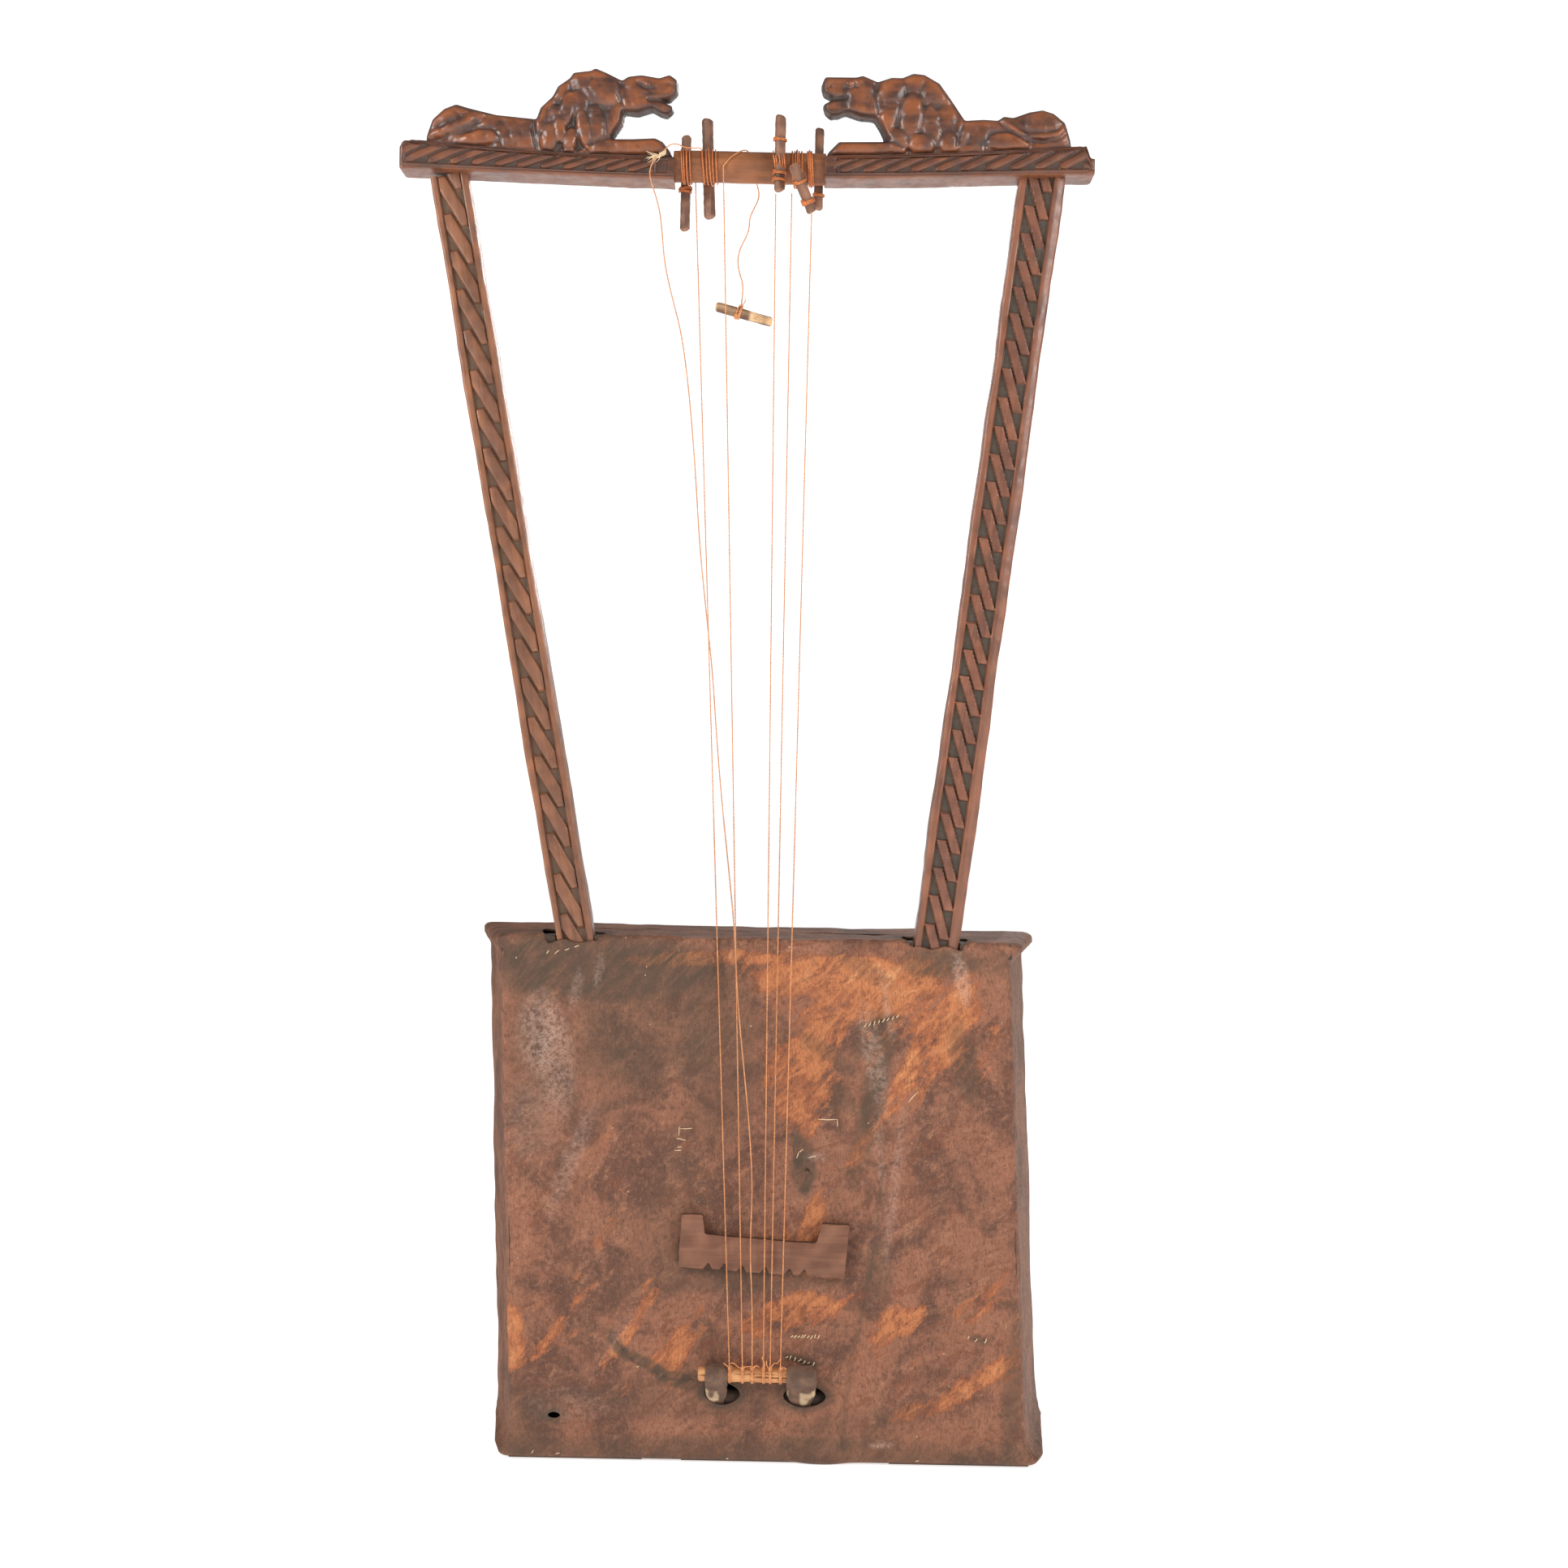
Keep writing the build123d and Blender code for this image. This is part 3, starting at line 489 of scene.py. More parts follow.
DANGLING_ROUTE = [
    (-27.6, 8.5, 1012.0), (-25.6, 8.3, 1005.6), (-26.2, 8.0, 999.4), (-29.6, 7.8, 992.2),
    (-33.0, 7.4, 984.4), (-32.8, 7.0, 977.0), (-35.2, 6.8, 969.4), (-40.0, 6.6, 960.4),
    (-41.8, 6.4, 950.6), (-40.2, 6.2, 941.2), (-37.2, 6.0, 932.8), (-37.0, 5.6, 924.4),
    (-38.0, 5.0, 915.6),
]


def free_string(name, route, node):
    """Cord that is fixed at both ends and hangs freely between them."""
    curve = bpy.data.curves.new(name, "CURVE")
    curve.dimensions = "3D"
    curve.bevel_depth = STRING_RADIUS * MM
    curve.bevel_resolution = 2
    curve.resolution_u = 14
    curve.use_fill_caps = True
    spline = curve.splines.new("NURBS")
    spline.points.add(len(route) - 1)
    points = row(route)
    for point, place in zip(spline.points, points):
        point.co = (*place, 1)
    spline.order_u = 3
    spline.use_endpoint_u = True
    curve.materials.append(MATERIALS["slack"])
    piece = bpy.data.objects.new(name, curve)
    bpy.context.scene.collection.objects.link(piece)
    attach(piece, "frame")
    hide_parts(node)


free_string("slack_gut_string", SLACK_ROUTE, "slack_string")
free_string("dangling_gut_string", DANGLING_ROUTE, "dangling_string")


# ---- floor and backdrop ----------------------------------------------------------------------
def stage_piece(name, mesh, white, glow):
    """Matt grey to white surface that also glows."""
    piece = bpy.data.objects.new(name, mesh)
    bpy.context.scene.collection.objects.link(piece)
    material = bpy.data.materials.new(name)
    material.use_nodes = True
    surface = material.node_tree.nodes["Principled BSDF"]
    surface.inputs["Base Color"].default_value = (white, white, white, 1)
    surface.inputs["Roughness"].default_value = 0.9
    surface.inputs["Specular IOR Level"].default_value = 0.0
    surface.inputs["Emission Color"].default_value = (1, 1, 1, 1)
    surface.inputs["Emission Strength"].default_value = glow
    mesh.materials.append(material)
    return piece


FLOOR_HALF = 30.0
floor_corners = [(x * FLOOR_HALF, y * FLOOR_HALF, 0) for x, y in ((-1, -1), (1, -1), (1, 1), (-1, 1))]
floor_mesh = bpy.data.meshes.new("floor")
floor_mesh.from_pydata(floor_corners, [], [(0, 1, 2, 3)])
stage_piece("floor", floor_mesh, white=0.9, glow=0.70)

dome_mesh = bpy.data.meshes.new("backdrop")
dome_work = bmesh.new()
bmesh.ops.create_icosphere(dome_work, subdivisions=4, radius=FLOOR_HALF)
dome_work.to_mesh(dome_mesh)
dome_work.free()
dome = stage_piece("backdrop", dome_mesh, white=0.0, glow=1.2)
dome.visible_diffuse = False
dome.visible_glossy = False
dome.visible_shadow = False
dome.visible_transmission = False


# ---- cable carving ---------------------------------------------------------------------------
def cable(across, along, half_low, half_high, pitch, slope, gap, top_cut, length, depth, round_share, bevel):
    """Depth of a carved band of slanted strands, and how far each point is down in a recess.

    across runs from one plain rail to the other, and a strand falls back along the band by
    1 / slope for each mm that it moves across. Each strand is cut square at both ends, which
    leaves a three-cornered pit beside each rail.
    """
    band = (along + across / slope) / pitch
    number = np.floor(band)
    share = band - number
    lean = math.sin(math.atan(slope))
    to_edge = np.minimum(share, 1 - share) * pitch * lean - gap / 2
    half_strand = pitch * lean / 2 - gap / 2
    top = (number + 1) * pitch + top_cut / slope
    to_end = np.minimum(top - along, along - (top - length))
    to_rail = np.minimum(across - half_low, half_high - across)
    inside = np.minimum(np.minimum(to_edge, to_end * 0.8), to_rail * 1.1)
    raised = smoothstep(-0.1, bevel, inside)
    crown = 1 - np.clip(to_edge / half_strand, 0, 1)
    height = raised * (1 - round_share * crown ** 2)
    rail = smoothstep(0.6, -0.5, to_rail)
    level = np.maximum(height, rail)
    pit = 1 - smoothstep(0.0, 0.55, level)
    return depth * (1 - level), pit * smoothstep(-0.6, 0.3, to_rail), raised


# ---- arms ------------------------------------------------------------------------------------
ARM_BACK = 24.0
ARM_FRONT = 2.0
ARM_EDGE = 1.4
ARM_PLAIN_END = 404.0
ARM_STEP = 1.1


def arm_rings(stations, width_at, carve, seed):
    """Rings round a four-sided beam: carved front, two sides and a back, in the beam's own frame."""
    front = 46
    side = np.array([0.0, 0.12, 0.35, 0.65, 0.88])
    rear = np.linspace(0, 1, 10, endpoint=False)
    u_front = np.concatenate([-1 + np.array([0.0, 0.012, 0.035]), np.linspace(-0.94, 0.94, front),
                              1 - np.array([0.035, 0.012])])
    across = np.concatenate([u_front, np.ones(5), 1 - 2 * rear, -np.ones(5)])
    into = np.concatenate([np.zeros(len(u_front)), side, np.ones(len(rear)), 1 - side])
    half = width_at(stations)[:, None] / 2
    x = across[None, :] * half
    y = ARM_FRONT + into[None, :] * (ARM_BACK - ARM_FRONT) + 0 * x
    s = stations[:, None] + 0 * x
    depth, pit = carve(x, s)
    on_front = (into[None, :] == 0) + 0 * x
    y = y + depth * on_front
    # Softened long edges: a corner point moves in along both of its faces.
    for corner, inward in ((0, 1), (1, -1)):
        near = np.abs(into[None, :] - corner) < 0.01
        fall = smoothstep(ARM_EDGE, 0.0, half - np.abs(x)) * near
        y = y + inward * fall * ARM_EDGE * 0.55
    near_side = smoothstep(0.12, 0.0, np.minimum(into, 1 - into))[None, :] * (np.abs(across)[None, :] > 0.99)
    x = x - np.sign(x) * near_side * ARM_EDGE * 0.45
    points = np.stack([x, y, s], -1).reshape(-1, 3)
    wobble = drift(points, 60.0, seed) * 0.35 + drift(points, 14.0, seed + 1) * 0.16
    points[:, 1] += wobble * (into[None, :] + 0 * x).ravel() * 0.8 + drift(points, 9.0, seed + 2) * 0.10
    points[:, 0] += np.sign(points[:, 0]) * wobble * 0.7 * (np.abs(across)[None, :] ** 3 + 0 * x).ravel()
    return points, (pit * on_front).ravel(), len(across)


def carved_arm(name, foot, head, width, carve, seed, wear):
    """Arm from its foot to its head, given as X and Z, carved above its plain lower part."""
    lean = math.atan2(head[0] - foot[0], head[1] - foot[1])
    length = math.hypot(head[0] - foot[0], head[1] - foot[1])
    stations = np.concatenate([np.linspace(4.0, ARM_PLAIN_END, 30),
                               np.arange(ARM_PLAIN_END + ARM_STEP, length + 6, ARM_STEP)])
    points, pit, corners = arm_rings(stations, width, carve, seed)
    turn = np.array([[math.cos(lean), 0, math.sin(lean)], [0, 1, 0], [-math.sin(lean), 0, math.cos(lean)]])
    edge = smoothstep(3.0, 0.4, width(points[:, 2]) / 2 - np.abs(points[:, 0]))
    # The rails are made lighter as given for each arm; on the right arm this is a painted highlight.
    lighter_rail = wear(points[:, 0], points[:, 2])
    worn = np.clip(lighter_rail + 0.35 * edge + 0.25 * drift(points, 18.0, seed + 5), 0, 1)
    worn *= 1 - pit
    points = points @ turn.T + (foot[0], 0, foot[1])
    mesh_piece(f"carved_{name}", points, ring_faces(len(stations), corners), "frame", name,
               [name], 38.0, {"deep": pit, "worn": worn})


LEFT_FOOT, LEFT_HEAD = (-83.7, 2.0), (-270.5, 1008.7)
RIGHT_FOOT, RIGHT_HEAD = (77.5, 2.0), (198.0, 1016.1)
BAND_START = 396.0


def uneven(along, seed):
    """Place along a band, stretched here and there so that no two strands are the same."""
    return along + 1.5 * np.sin(along / 57.0 + seed) + 0.8 * np.sin(along / 23.0 + 2 * seed)


def left_carving(x, s):
    """Depth and recess of the left arm's front, at places across and along the arm."""
    depth, pit, _ = cable(x, uneven(s, 0.6), half_low=-9.4, half_high=9.2, pitch=31.0, slope=0.40, gap=0.5,
                          top_cut=2.5, length=45.0, depth=2.9, round_share=0.16, bevel=1.3)
    live = smoothstep(BAND_START, BAND_START + 3, s)
    return depth * live, pit * live


def right_carving(x, s):
    """The same for the right arm, whose outer rail slopes back."""
    depth, pit, _ = cable(x, uneven(s, 1.9), half_low=-12.2, half_high=9.0, pitch=22.1, slope=0.42, gap=0.7,
                          top_cut=3.6, length=33.0, depth=2.7, round_share=0.05, bevel=0.6)
    rail = smoothstep(9.0, 17.8, x)
    live = smoothstep(BAND_START, BAND_START + 3, s)
    return depth * live + 1.6 * rail ** 2, pit * live


def left_width(s):
    return 29.6 + 0.7 * np.sin(s / 41.0) + 0.4 * np.sin(s / 17.0)


def right_width(s):
    return 35.8 + 0.9 * np.sin(s / 37.0) + 0.5 * np.sin(s / 13.0)


# The left arm's left rail is made lighter.
def left_rail_lighter(x, s):
    return 0.30 * smoothstep(-9.0, -12.0, x)


# A painted highlight: a lighter strip along the inner edge of the right arm's left rail.
def right_rail_highlight(x, s):
    return 0.55 * smoothstep(-13.6, -12.6, x) * smoothstep(-11.2, -12.0, x)


carved_arm("left_arm", LEFT_FOOT, LEFT_HEAD, left_width, left_carving, 11, left_rail_lighter)
carved_arm("right_arm", RIGHT_FOOT, RIGHT_HEAD, right_width, right_carving, 23, right_rail_highlight)


# ---- yoke ------------------------------------------------------------------------------------
def swept_beam(stations, low, top, front, rear, carve, seed, corner, ends):
    """Beam along X with a carved front. low, top, front and rear are its edges at each station."""
    tall = np.concatenate([[0.0, 0.015, 0.04], np.linspace(0.07, 0.93, 30), [0.96, 0.985]])
    deep = np.array([0.0, 0.03, 0.08, 0.2, 0.4, 0.6, 0.8, 0.92, 0.97])
    rise = np.concatenate([tall, np.ones(9), 1 - np.array([0.0, 0.04, 0.1, 0.3, 0.5, 0.7, 0.9, 0.96]),
                           np.zeros(9)])
    into = np.concatenate([np.zeros(len(tall)), deep, np.ones(8), 1 - deep])
    height = (top - low)[:, None]
    thick = (rear - front)[:, None]
    z = low[:, None] + rise[None, :] * height
    y = front[:, None] + into[None, :] * thick
    x = stations[:, None] + 0 * z
    depth, pit, raised = carve(x, z, low[:, None], top[:, None])
    on_front = (into[None, :] == 0) + 0 * x
    y = y + depth * on_front
    # Rounded long edges.
    from_low, from_top = rise[None, :] * height, (1 - rise[None, :]) * height
    from_front, from_rear = into[None, :] * thick, (1 - into[None, :]) * thick
    edge_z, edge_y = np.minimum(from_low, from_top), np.minimum(from_front, from_rear)
    inward_z, inward_y = np.where(from_low < from_top, 1, -1), np.where(from_front < from_rear, 1, -1)
    z = z + inward_z * smoothstep(corner, 0, edge_y) * (edge_z < 0.01) * corner * 0.4
    y = y + inward_y * smoothstep(corner, 0, edge_z) * (edge_y < 0.01 + depth) * corner * 0.4
    # Rounded ends: the last rings draw in.
    shrink = 1 - ends(stations)[:, None]
    middle_z, middle_y = ((low + top) / 2)[:, None], ((front + rear) / 2)[:, None]
    z = middle_z + (z - middle_z) * shrink
    y = middle_y + (y - middle_y) * shrink
    points = np.stack([x, y, z], -1).reshape(-1, 3)
    wobble = drift(points, 45.0, seed) * 0.35 + drift(points, 11.0, seed + 1) * 0.16
    points[:, 1] += wobble * np.where(on_front.ravel(), 0.5, 1.0)
    at_edge = (rise[None, :] > 0.98) | (rise[None, :] < 0.02)
    points[:, 2] += wobble * at_edge.repeat(len(stations), 0).ravel()
    return points, (pit * on_front).ravel(), (raised * on_front).ravel(), len(rise)


def yoke_block(name, low_line, top_line, outer, inner, pitch, panel, seed):
    """Carved half of the yoke, from its outer end to the bar."""
    count = int(abs(inner - outer) / 0.85)
    share = np.linspace(0, 1, count)
    stations = outer + (inner - outer) * share
    low = np.interp(stations, *zip(*sorted(low_line)))
    top = np.interp(stations, *zip(*sorted(top_line)))
    ragged = smoothstep(16.0, 0.0, np.abs(stations - outer))
    top = top + ragged * 0.9 * np.sin(stations * 0.9)
    front = np.full(count, -7.0) + ragged * 0.8
    rear = np.full(count, 24.0)

    def carve(x, z, low, top):
        middle = (low + top) / 2 + 0.6
        half = (top - low) / 2 - 3.3
        across = (z - middle) / half * 6.4
        depth, pit, raised = cable(across, -uneven(x, seed), half_low=-6.4, half_high=6.4, pitch=pitch, slope=0.42,
                                   gap=0.2, top_cut=1.6, length=pitch * 2.15, depth=2.3, round_share=0.6, bevel=1.7)
        from_inner = np.abs(x - inner)
        live = smoothstep(panel, panel + 1.5, from_inner) * smoothstep(2.0, 6.0, np.abs(x - outer))
        along_panel = np.minimum(from_inner - 5.0, panel - 2.0 - from_inner)
        field = smoothstep(0.0, 1.2, np.minimum(6.6 - np.abs(across), along_panel))
        flat = field * (1 - live) * 1.5 * (from_inner < panel)
        # Two thin mouldings follow the upper and the lower edge.
        line = np.exp(-((np.abs(across) - 8.3) / 0.55) ** 2) * 0.7
        return depth * live + flat + line, np.maximum(pit * live, 0.5 * line + 0.3 * flat), raised * live

    def drawn_in(x):
        return 0.06 * smoothstep(1.8, 0.0, np.abs(x - outer)) + 0.02 * smoothstep(1.2, 0.0, np.abs(x - inner))

    points, pit, raised, corners = swept_beam(stations, low, top, front, rear, carve, seed, 2.2, drawn_in)
    worn = np.clip(0.42 * raised + 0.3 * drift(points, 16.0, seed + 7) - 0.05, 0, 1) * (1 - pit)
    # Painted light from below: the underside is made lighter through the worn value.
    lit_underside = smoothstep(2.5, 0.5, points[:, 2] - np.interp(points[:, 0], *zip(*sorted(low_line))))
    worn = np.maximum(worn, lit_underside * 0.8)
    mesh_piece(f"carved_{name}", points, ring_faces(count, corners), "frame", "block",
               [name], 38.0, {"deep": pit, "worn": worn})


LEFT_LOW = [(-308.9, 1015.8), (-170.0, 1012.0), (-92.5, 1010.6)]
LEFT_TOP = [(-308.9, 1034.5), (-303.0, 1038.3), (-224.0, 1032.1), (-162.0, 1029.3), (-92.5, 1028.3)]
RIGHT_LOW = [(25.8, 1013.7), (79.5, 1014.7), (156.6, 1017.8), (238.2, 1020.8)]
RIGHT_TOP = [(25.8, 1031.4), (79.5, 1033.2), (135.0, 1035.9), (188.0, 1040.0), (231.0, 1043.0),
             (234.0, 1034.5), (238.2, 1033.0)]
yoke_block("left_yoke_block", LEFT_LOW, LEFT_TOP, -308.6, -92.6, 17.8, 17.0, 3)
yoke_block("right_yoke_block", RIGHT_LOW, RIGHT_TOP, 238.0, 26.0, 19.5, 8.0, 5)

# Round middle of the yoke, shaved to long flat facets.
BAR_Y, BAR_Z, BAR_RADIUS = 8.5, 1024.8, 12.5
bar_stations = np.linspace(-93.5, 26.8, 110)
bar_angles = around(56)
FACETS = 11
bar_turn = bar_angles[None, :] + 0.10 * np.sin(bar_stations / 31.0)[:, None]
facet_depth = 1 / np.cos((bar_turn % (2 * math.pi / FACETS)) - math.pi / FACETS)
bar_grid = np.stack([np.broadcast_to(bar_stations[:, None], bar_turn.shape),
                     np.cos(bar_angles)[None, :] * BAR_RADIUS + 0 * bar_turn,
                     np.sin(bar_angles)[None, :] * BAR_RADIUS + 0 * bar_turn], -1).reshape(-1, 3)
bar_radius = BAR_RADIUS * (0.955 + 0.9 * (facet_depth.ravel() - 1)) + 0.22 * drift(bar_grid, 26.0, 31)
bar_grid[:, 1] = BAR_Y + np.cos(np.tile(bar_angles, len(bar_stations))) * bar_radius
bar_grid[:, 2] = BAR_Z + np.sin(np.tile(bar_angles, len(bar_stations))) * bar_radius
mesh_piece("yoke_middle_bar", bar_grid, ring_faces(len(bar_stations), len(bar_angles)), "frame",
           "bar", ["yoke_bar"], 60.0, {"worn": np.clip(0.25 + 0.5 * drift(bar_grid, 24.0, 33), 0, 1)})


# ---- hide ------------------------------------------------------------------------------------
HIDE_THICKNESS = 1.8
FRONT_WIDTH, BACK_WIDTH, SIDE_FLARE = 406.8, 460.8, 27.0
FRONT_BASE, BACK_BASE = (-202.8, 204.0), (-231.3, 229.5)
LEANS = (-15.0, -21.5)
# How far the folded hide stands out past each wall, at some places from the front to the back.
BASE_LIPS = (([0, 31, BOX_DEPTH], [9.0, 10.0, 1.0]), ([0, 23, BOX_DEPTH], [8.0, 12.5, 3.0]))
TOP_LIPS = (([0, 2, 9, BOX_DEPTH], [0.8, 2.4, 5.2, 5.0]), ([0, 2, 10, BOX_DEPTH], [1.6, 4.0, 9.5, 9.5]))
LIP_REACH = 30.0
CORNER_REACH = 7.0
EDGE_REACH = 6.0


def spaced(marks, steps):
    """Places from the first mark to the last, with a step of its own in each stretch."""
    runs = [np.linspace(a, b, max(2, int(round(abs(b - a) / step)) + 1))[:-1]
            for a, b, step in zip(marks, marks[1:], steps)]
    return np.concatenate([*runs, [marks[-1]]])


def near_corners(length, places):
    """Shares along one side of the box, with extra points in its two rounded corners."""
    extra = np.array([0.0, 0.12, 0.28, 0.46, 0.66, 0.86]) * CORNER_REACH
    inner = places[(places > CORNER_REACH) & (places < length - CORNER_REACH)]
    every = [extra, [CORNER_REACH], inner, [length - CORNER_REACH], length - extra[:0:-1]]
    return np.concatenate(every) / length


def wall_x(side, y, z):
    """X of the left (0) or right (1) wall."""
    front, back = FRONT_BASE[side], BACK_BASE[side]
    return front + (back - front) * y / BOX_DEPTH + LEANS[side] * z / BOX_HEIGHT


def fold_lips(points):
    """Moves the skin out where it is folded over the ends of the bottom and top boards."""
    x, y, z = points.T
    below = BOX_HEIGHT - z
    at_base = 0.3 * smoothstep(21, 13, z) + 0.7 * smoothstep(12, 4, z)
    upper_fold = smoothstep(14, 8, below) * (1 - 0.4 * smoothstep(4, 0, below))
    at_top = 0.3 * smoothstep(18, 12, below) + 0.7 * upper_fold
    for side, outward in ((0, -1), (1, 1)):
        inside = -outward * (x - wall_x(side, y, z))
        share = smoothstep(LIP_REACH, 0.5, inside)
        lip = at_base * np.interp(y, *BASE_LIPS[side]) + at_top * np.interp(y, *TOP_LIPS[side])
        points[:, 0] += outward * lip * share


def hide_corners(z):
    """The four sharp corners of the box at each height, from front left round to back left."""
    return np.stack([np.stack([wall_x(side, y, z), y + 0 * z], -1)
                     for side, y in ((0, 0.0), (1, 0.0), (1, BOX_DEPTH), (0, BOX_DEPTH))], 1)


def towards(corner, other, reach):
    """The point at a given reach from one corner on the way to another."""
    return corner + (other - corner) / np.linalg.norm(other - corner, axis=1, keepdims=True) * reach


def hide_rings(insets, heights, shares):
    """Rings of points round the box. A ring drawn in by its inset lies on the top or the bottom."""
    corners = hide_corners(heights)
    sign_x, sign_y = np.array([1, -1, -1, 1]), np.array([1, 1, -1, -1])
    corners[..., 0] += sign_x * insets[:, None]
    corners[..., 1] += sign_y * insets[:, None]
    rings = []
    for side in range(4):
        before, start, end, after = (corners[:, (side + shift) % 4] for shift in (-1, 0, 1, 2))
        length = np.linalg.norm(end - start, axis=1, keepdims=True)
        reach = np.minimum(CORNER_REACH, 0.45 * length)
        reach = np.minimum(reach, 0.45 * np.linalg.norm(start - before, axis=1, keepdims=True))
        for share in shares[side][:-1]:
            point = start + (end - start) * share
            for corner, one, other, gone in ((start, before, end, share * length),
                                             (end, start, after, (1 - share) * length)):
                into, out = towards(corner, one, reach), towards(corner, other, reach)
                run = np.clip(gone / (2 * reach), 0, 0.5)
                blend = 0.5 + run if corner is start else 0.5 - run
                curve = (1 - blend) ** 2 * into + 2 * blend * (1 - blend) * corner + blend ** 2 * out
                point = np.where(gone < reach, curve, point)
            rings.append(point)
    return np.stack(rings, 1)


def arm_centre(foot, head, z):
    """X of the middle of an arm at each height."""
    return foot[0] + (head[0] - foot[0]) * (z - foot[1]) / (head[1] - foot[1])


def over_arms(x, z):
    """1 where the skin lies on an arm, falling to 0 beside it."""
    left = np.abs(x - arm_centre(LEFT_FOOT, LEFT_HEAD, z)) - 14.8
    right = np.abs(x - arm_centre(RIGHT_FOOT, RIGHT_HEAD, z)) - 17.8
    beside = np.maximum(0, np.minimum(left, right))
    return np.exp(-(beside / 17.0) ** 1.4)


# Patches of the front skin: middle X and Z, half length, half width, turn in degrees, strength.
RUBBED = [
    (52, 376, 66, 26, 12, 0.95), (20, 388, 60, 14, 4, 0.8), (92, 352, 56, 20, 60, 0.6),
    (36, 338, 34, 20, 50, 0.85), (14, 310, 30, 24, 70, 1), (30, 292, 34, 18, 50, 0.95),
    (128, 342, 60, 18, 72, 0.75), (150, 352, 44, 14, 78, 0.6), (166, 322, 40, 9, 80, 0.5),
    (-60, 398, 66, 7, 3, 0.9), (78, 270, 40, 8, 64, 0.65), (100, 300, 30, 7, 70, 0.7),
    (48, 222, 40, 12, 62, 0.5), (30, 168, 26, 20, 60, 0.35), (28, 262, 16, 7, 80, 0.9),
    (12, 116, 36, 16, 20, 0.65), (104, 118, 70, 14, 48, 0.38), (152, 112, 60, 14, 44, 0.43),
    (96, 112, 30, 12, 20, 0.52), (150, 60, 60, 12, 22, 0.54), (176, 78, 40, 9, 34, 0.54),
    (128, 46, 34, 8, 14, 0.43), (182, 160, 60, 9, 62, 0.3), (62, 128, 34, 9, 40, 0.38),
    (-148, 232, 56, 7, 62, 0.5), (-128, 186, 60, 8, 60, 0.35), (-180, 88, 38, 8, 26, 0.62),
    (-158, 118, 34, 6, 50, 0.65), (-122, 88, 24, 6, 55, 0.73), (-104, 112, 34, 6, 58, 0.7),
    (-78, 84, 22, 17, 62, 0.73), (-62, 104, 26, 10, 66, 0.6), (-112, 56, 12, 9, 60, 0.6),
    (-66, 66, 22, 7, 20, 0.38), (-92, 150, 40, 6, 62, 0.38), (-60, 204, 30, 6, 70, 0.4),
    (-168, 150, 40, 6, 60, 0.43), (16, 36, 26, 8, 10, 0.3), (-206, 96, 12, 30, 0, 1),
    (30, 180, 30, 10, 80, 0.85), (8, 168, 24, 7, 78, 0.6), (22, 122, 32, 13, 10, 0.75),
    (-8, 112, 16, 9, 20, 0.6),
]
DARK = [
    (-150, 392, 90, 26, 0, 0.9), (-100, 350, 60, 50, 0, 0.55), (-42, 330, 30, 76, 0, 0.6),
    (74, 338, 9, 22, -24, 0.85), (82, 312, 10, 44, -10, 0.85), (72, 262, 10, 40, -12, 0.5),
    (-194, 330, 16, 90, 0, 0.4), (0, 10, 230, 12, 0, 0.55), (-60, 50, 90, 16, 0, 0.4),
    (128, 398, 30, 12, 0, 0.8), (-110, 160, 40, 50, 0, 0.15), (70, 30, 60, 14, 10, 0.35),
    (-195, 30, 22, 30, 0, 0.5), (-20, 66, 70, 8, 0, 0.5), (190, 398, 40, 10, 0, 0.5),
    (150, 318, 10, 34, 14, 0.6), (54, 290, 7, 16, 40, 0.7), (40, 326, 30, 6, -34, 0.7),
    (70, 392, 26, 7, -30, 0.45), (-90, 74, 34, 5, -28, 0.95), (-64, 66, 22, 4, 0, 0.8),
    (-120, 92, 5, 14, 30, 0.8), (192, 60, 8, 60, -3, 0.6), (-140, 300, 50, 40, 0, 0.3),
    (24, 236, 9, 22, 0, 1.0), (20, 252, 5, 10, 20, 0.8), (84, 350, 17, 3.4, 16, 1.0),
    (24, 83, 16, 3.2, -14, 1.0), (165, 101, 8, 3, -10, 0.8), (-76, 190, 26, 60, 0, 0.3),
    # The last four patches are a painted shadow of the bridge: below it and beside its two ends.
    (-6, 154, 62, 5, 3, 0.95), (-6, 142, 64, 7, 3, 0.6), (-68, 168, 6, 26, 0, 0.6),
    (86, 154, 12, 26, 0, 0.5),
]
# Pale patches: most are painted sheen, highlights painted into the skin; the small one low on the right is a grey
# smear.
SHEEN = [
    (-186, 338, 16, 30, 0, 0.75), (-172, 312, 13, 40, 4, 0.6), (-158, 372, 4, 16, -12, 0.5),
    (-140, 388, 3, 14, -10, 0.5), (78, 322, 8, 40, 12, 0.75), (88, 362, 3, 26, 10, 0.6),
    (146, 386, 6, 20, 12, 0.9), (90, 17, 9, 2.5, 5, 1.0), (-120, 98, 26, 5, 58, 0.3),
    (-160, 236, 7, 46, -22, 0.5), (96, 220, 4, 60, -6, 0.5), (84, 250, 4, 30, 6, 0.4),
    (34, 243, 8, 3, 0, 0.8), (-190, 270, 22, 30, 0, 0.3), (-158, 44, 30, 12, 0, 0.25),
]


def oval_spread(x, z, middle_x, middle_z, length, width, turn):
    """0 in the middle of a turned oval, 1 on its rim, and more outside it."""
    angle = math.radians(turn)
    along = (x - middle_x) * math.cos(angle) + (z - middle_z) * math.sin(angle)
    across = (z - middle_z) * math.cos(angle) - (x - middle_x) * math.sin(angle)
    return (along / length) ** 2 + (across / width) ** 2


def patches(x, z, spots, edge):
    """Sum of soft oval spots, clipped to 1."""
    total = np.zeros_like(x)
    for *oval, strength in spots:
        total += strength * smoothstep(1 + edge, 1 - edge, oval_spread(x, z, *oval))
    return np.clip(total, 0, 1)


def hole_distance(x, z, hole):
    """About how far a point is past the rim of an oval hole, negative inside."""
    middle_x, middle_z, half_x, half_z, power = hole
    share = (np.abs(x - middle_x) / half_x) ** power + (np.abs(z - middle_z) / half_z) ** power
    return (share ** (1 / power) - 1) * min(half_x, half_z)


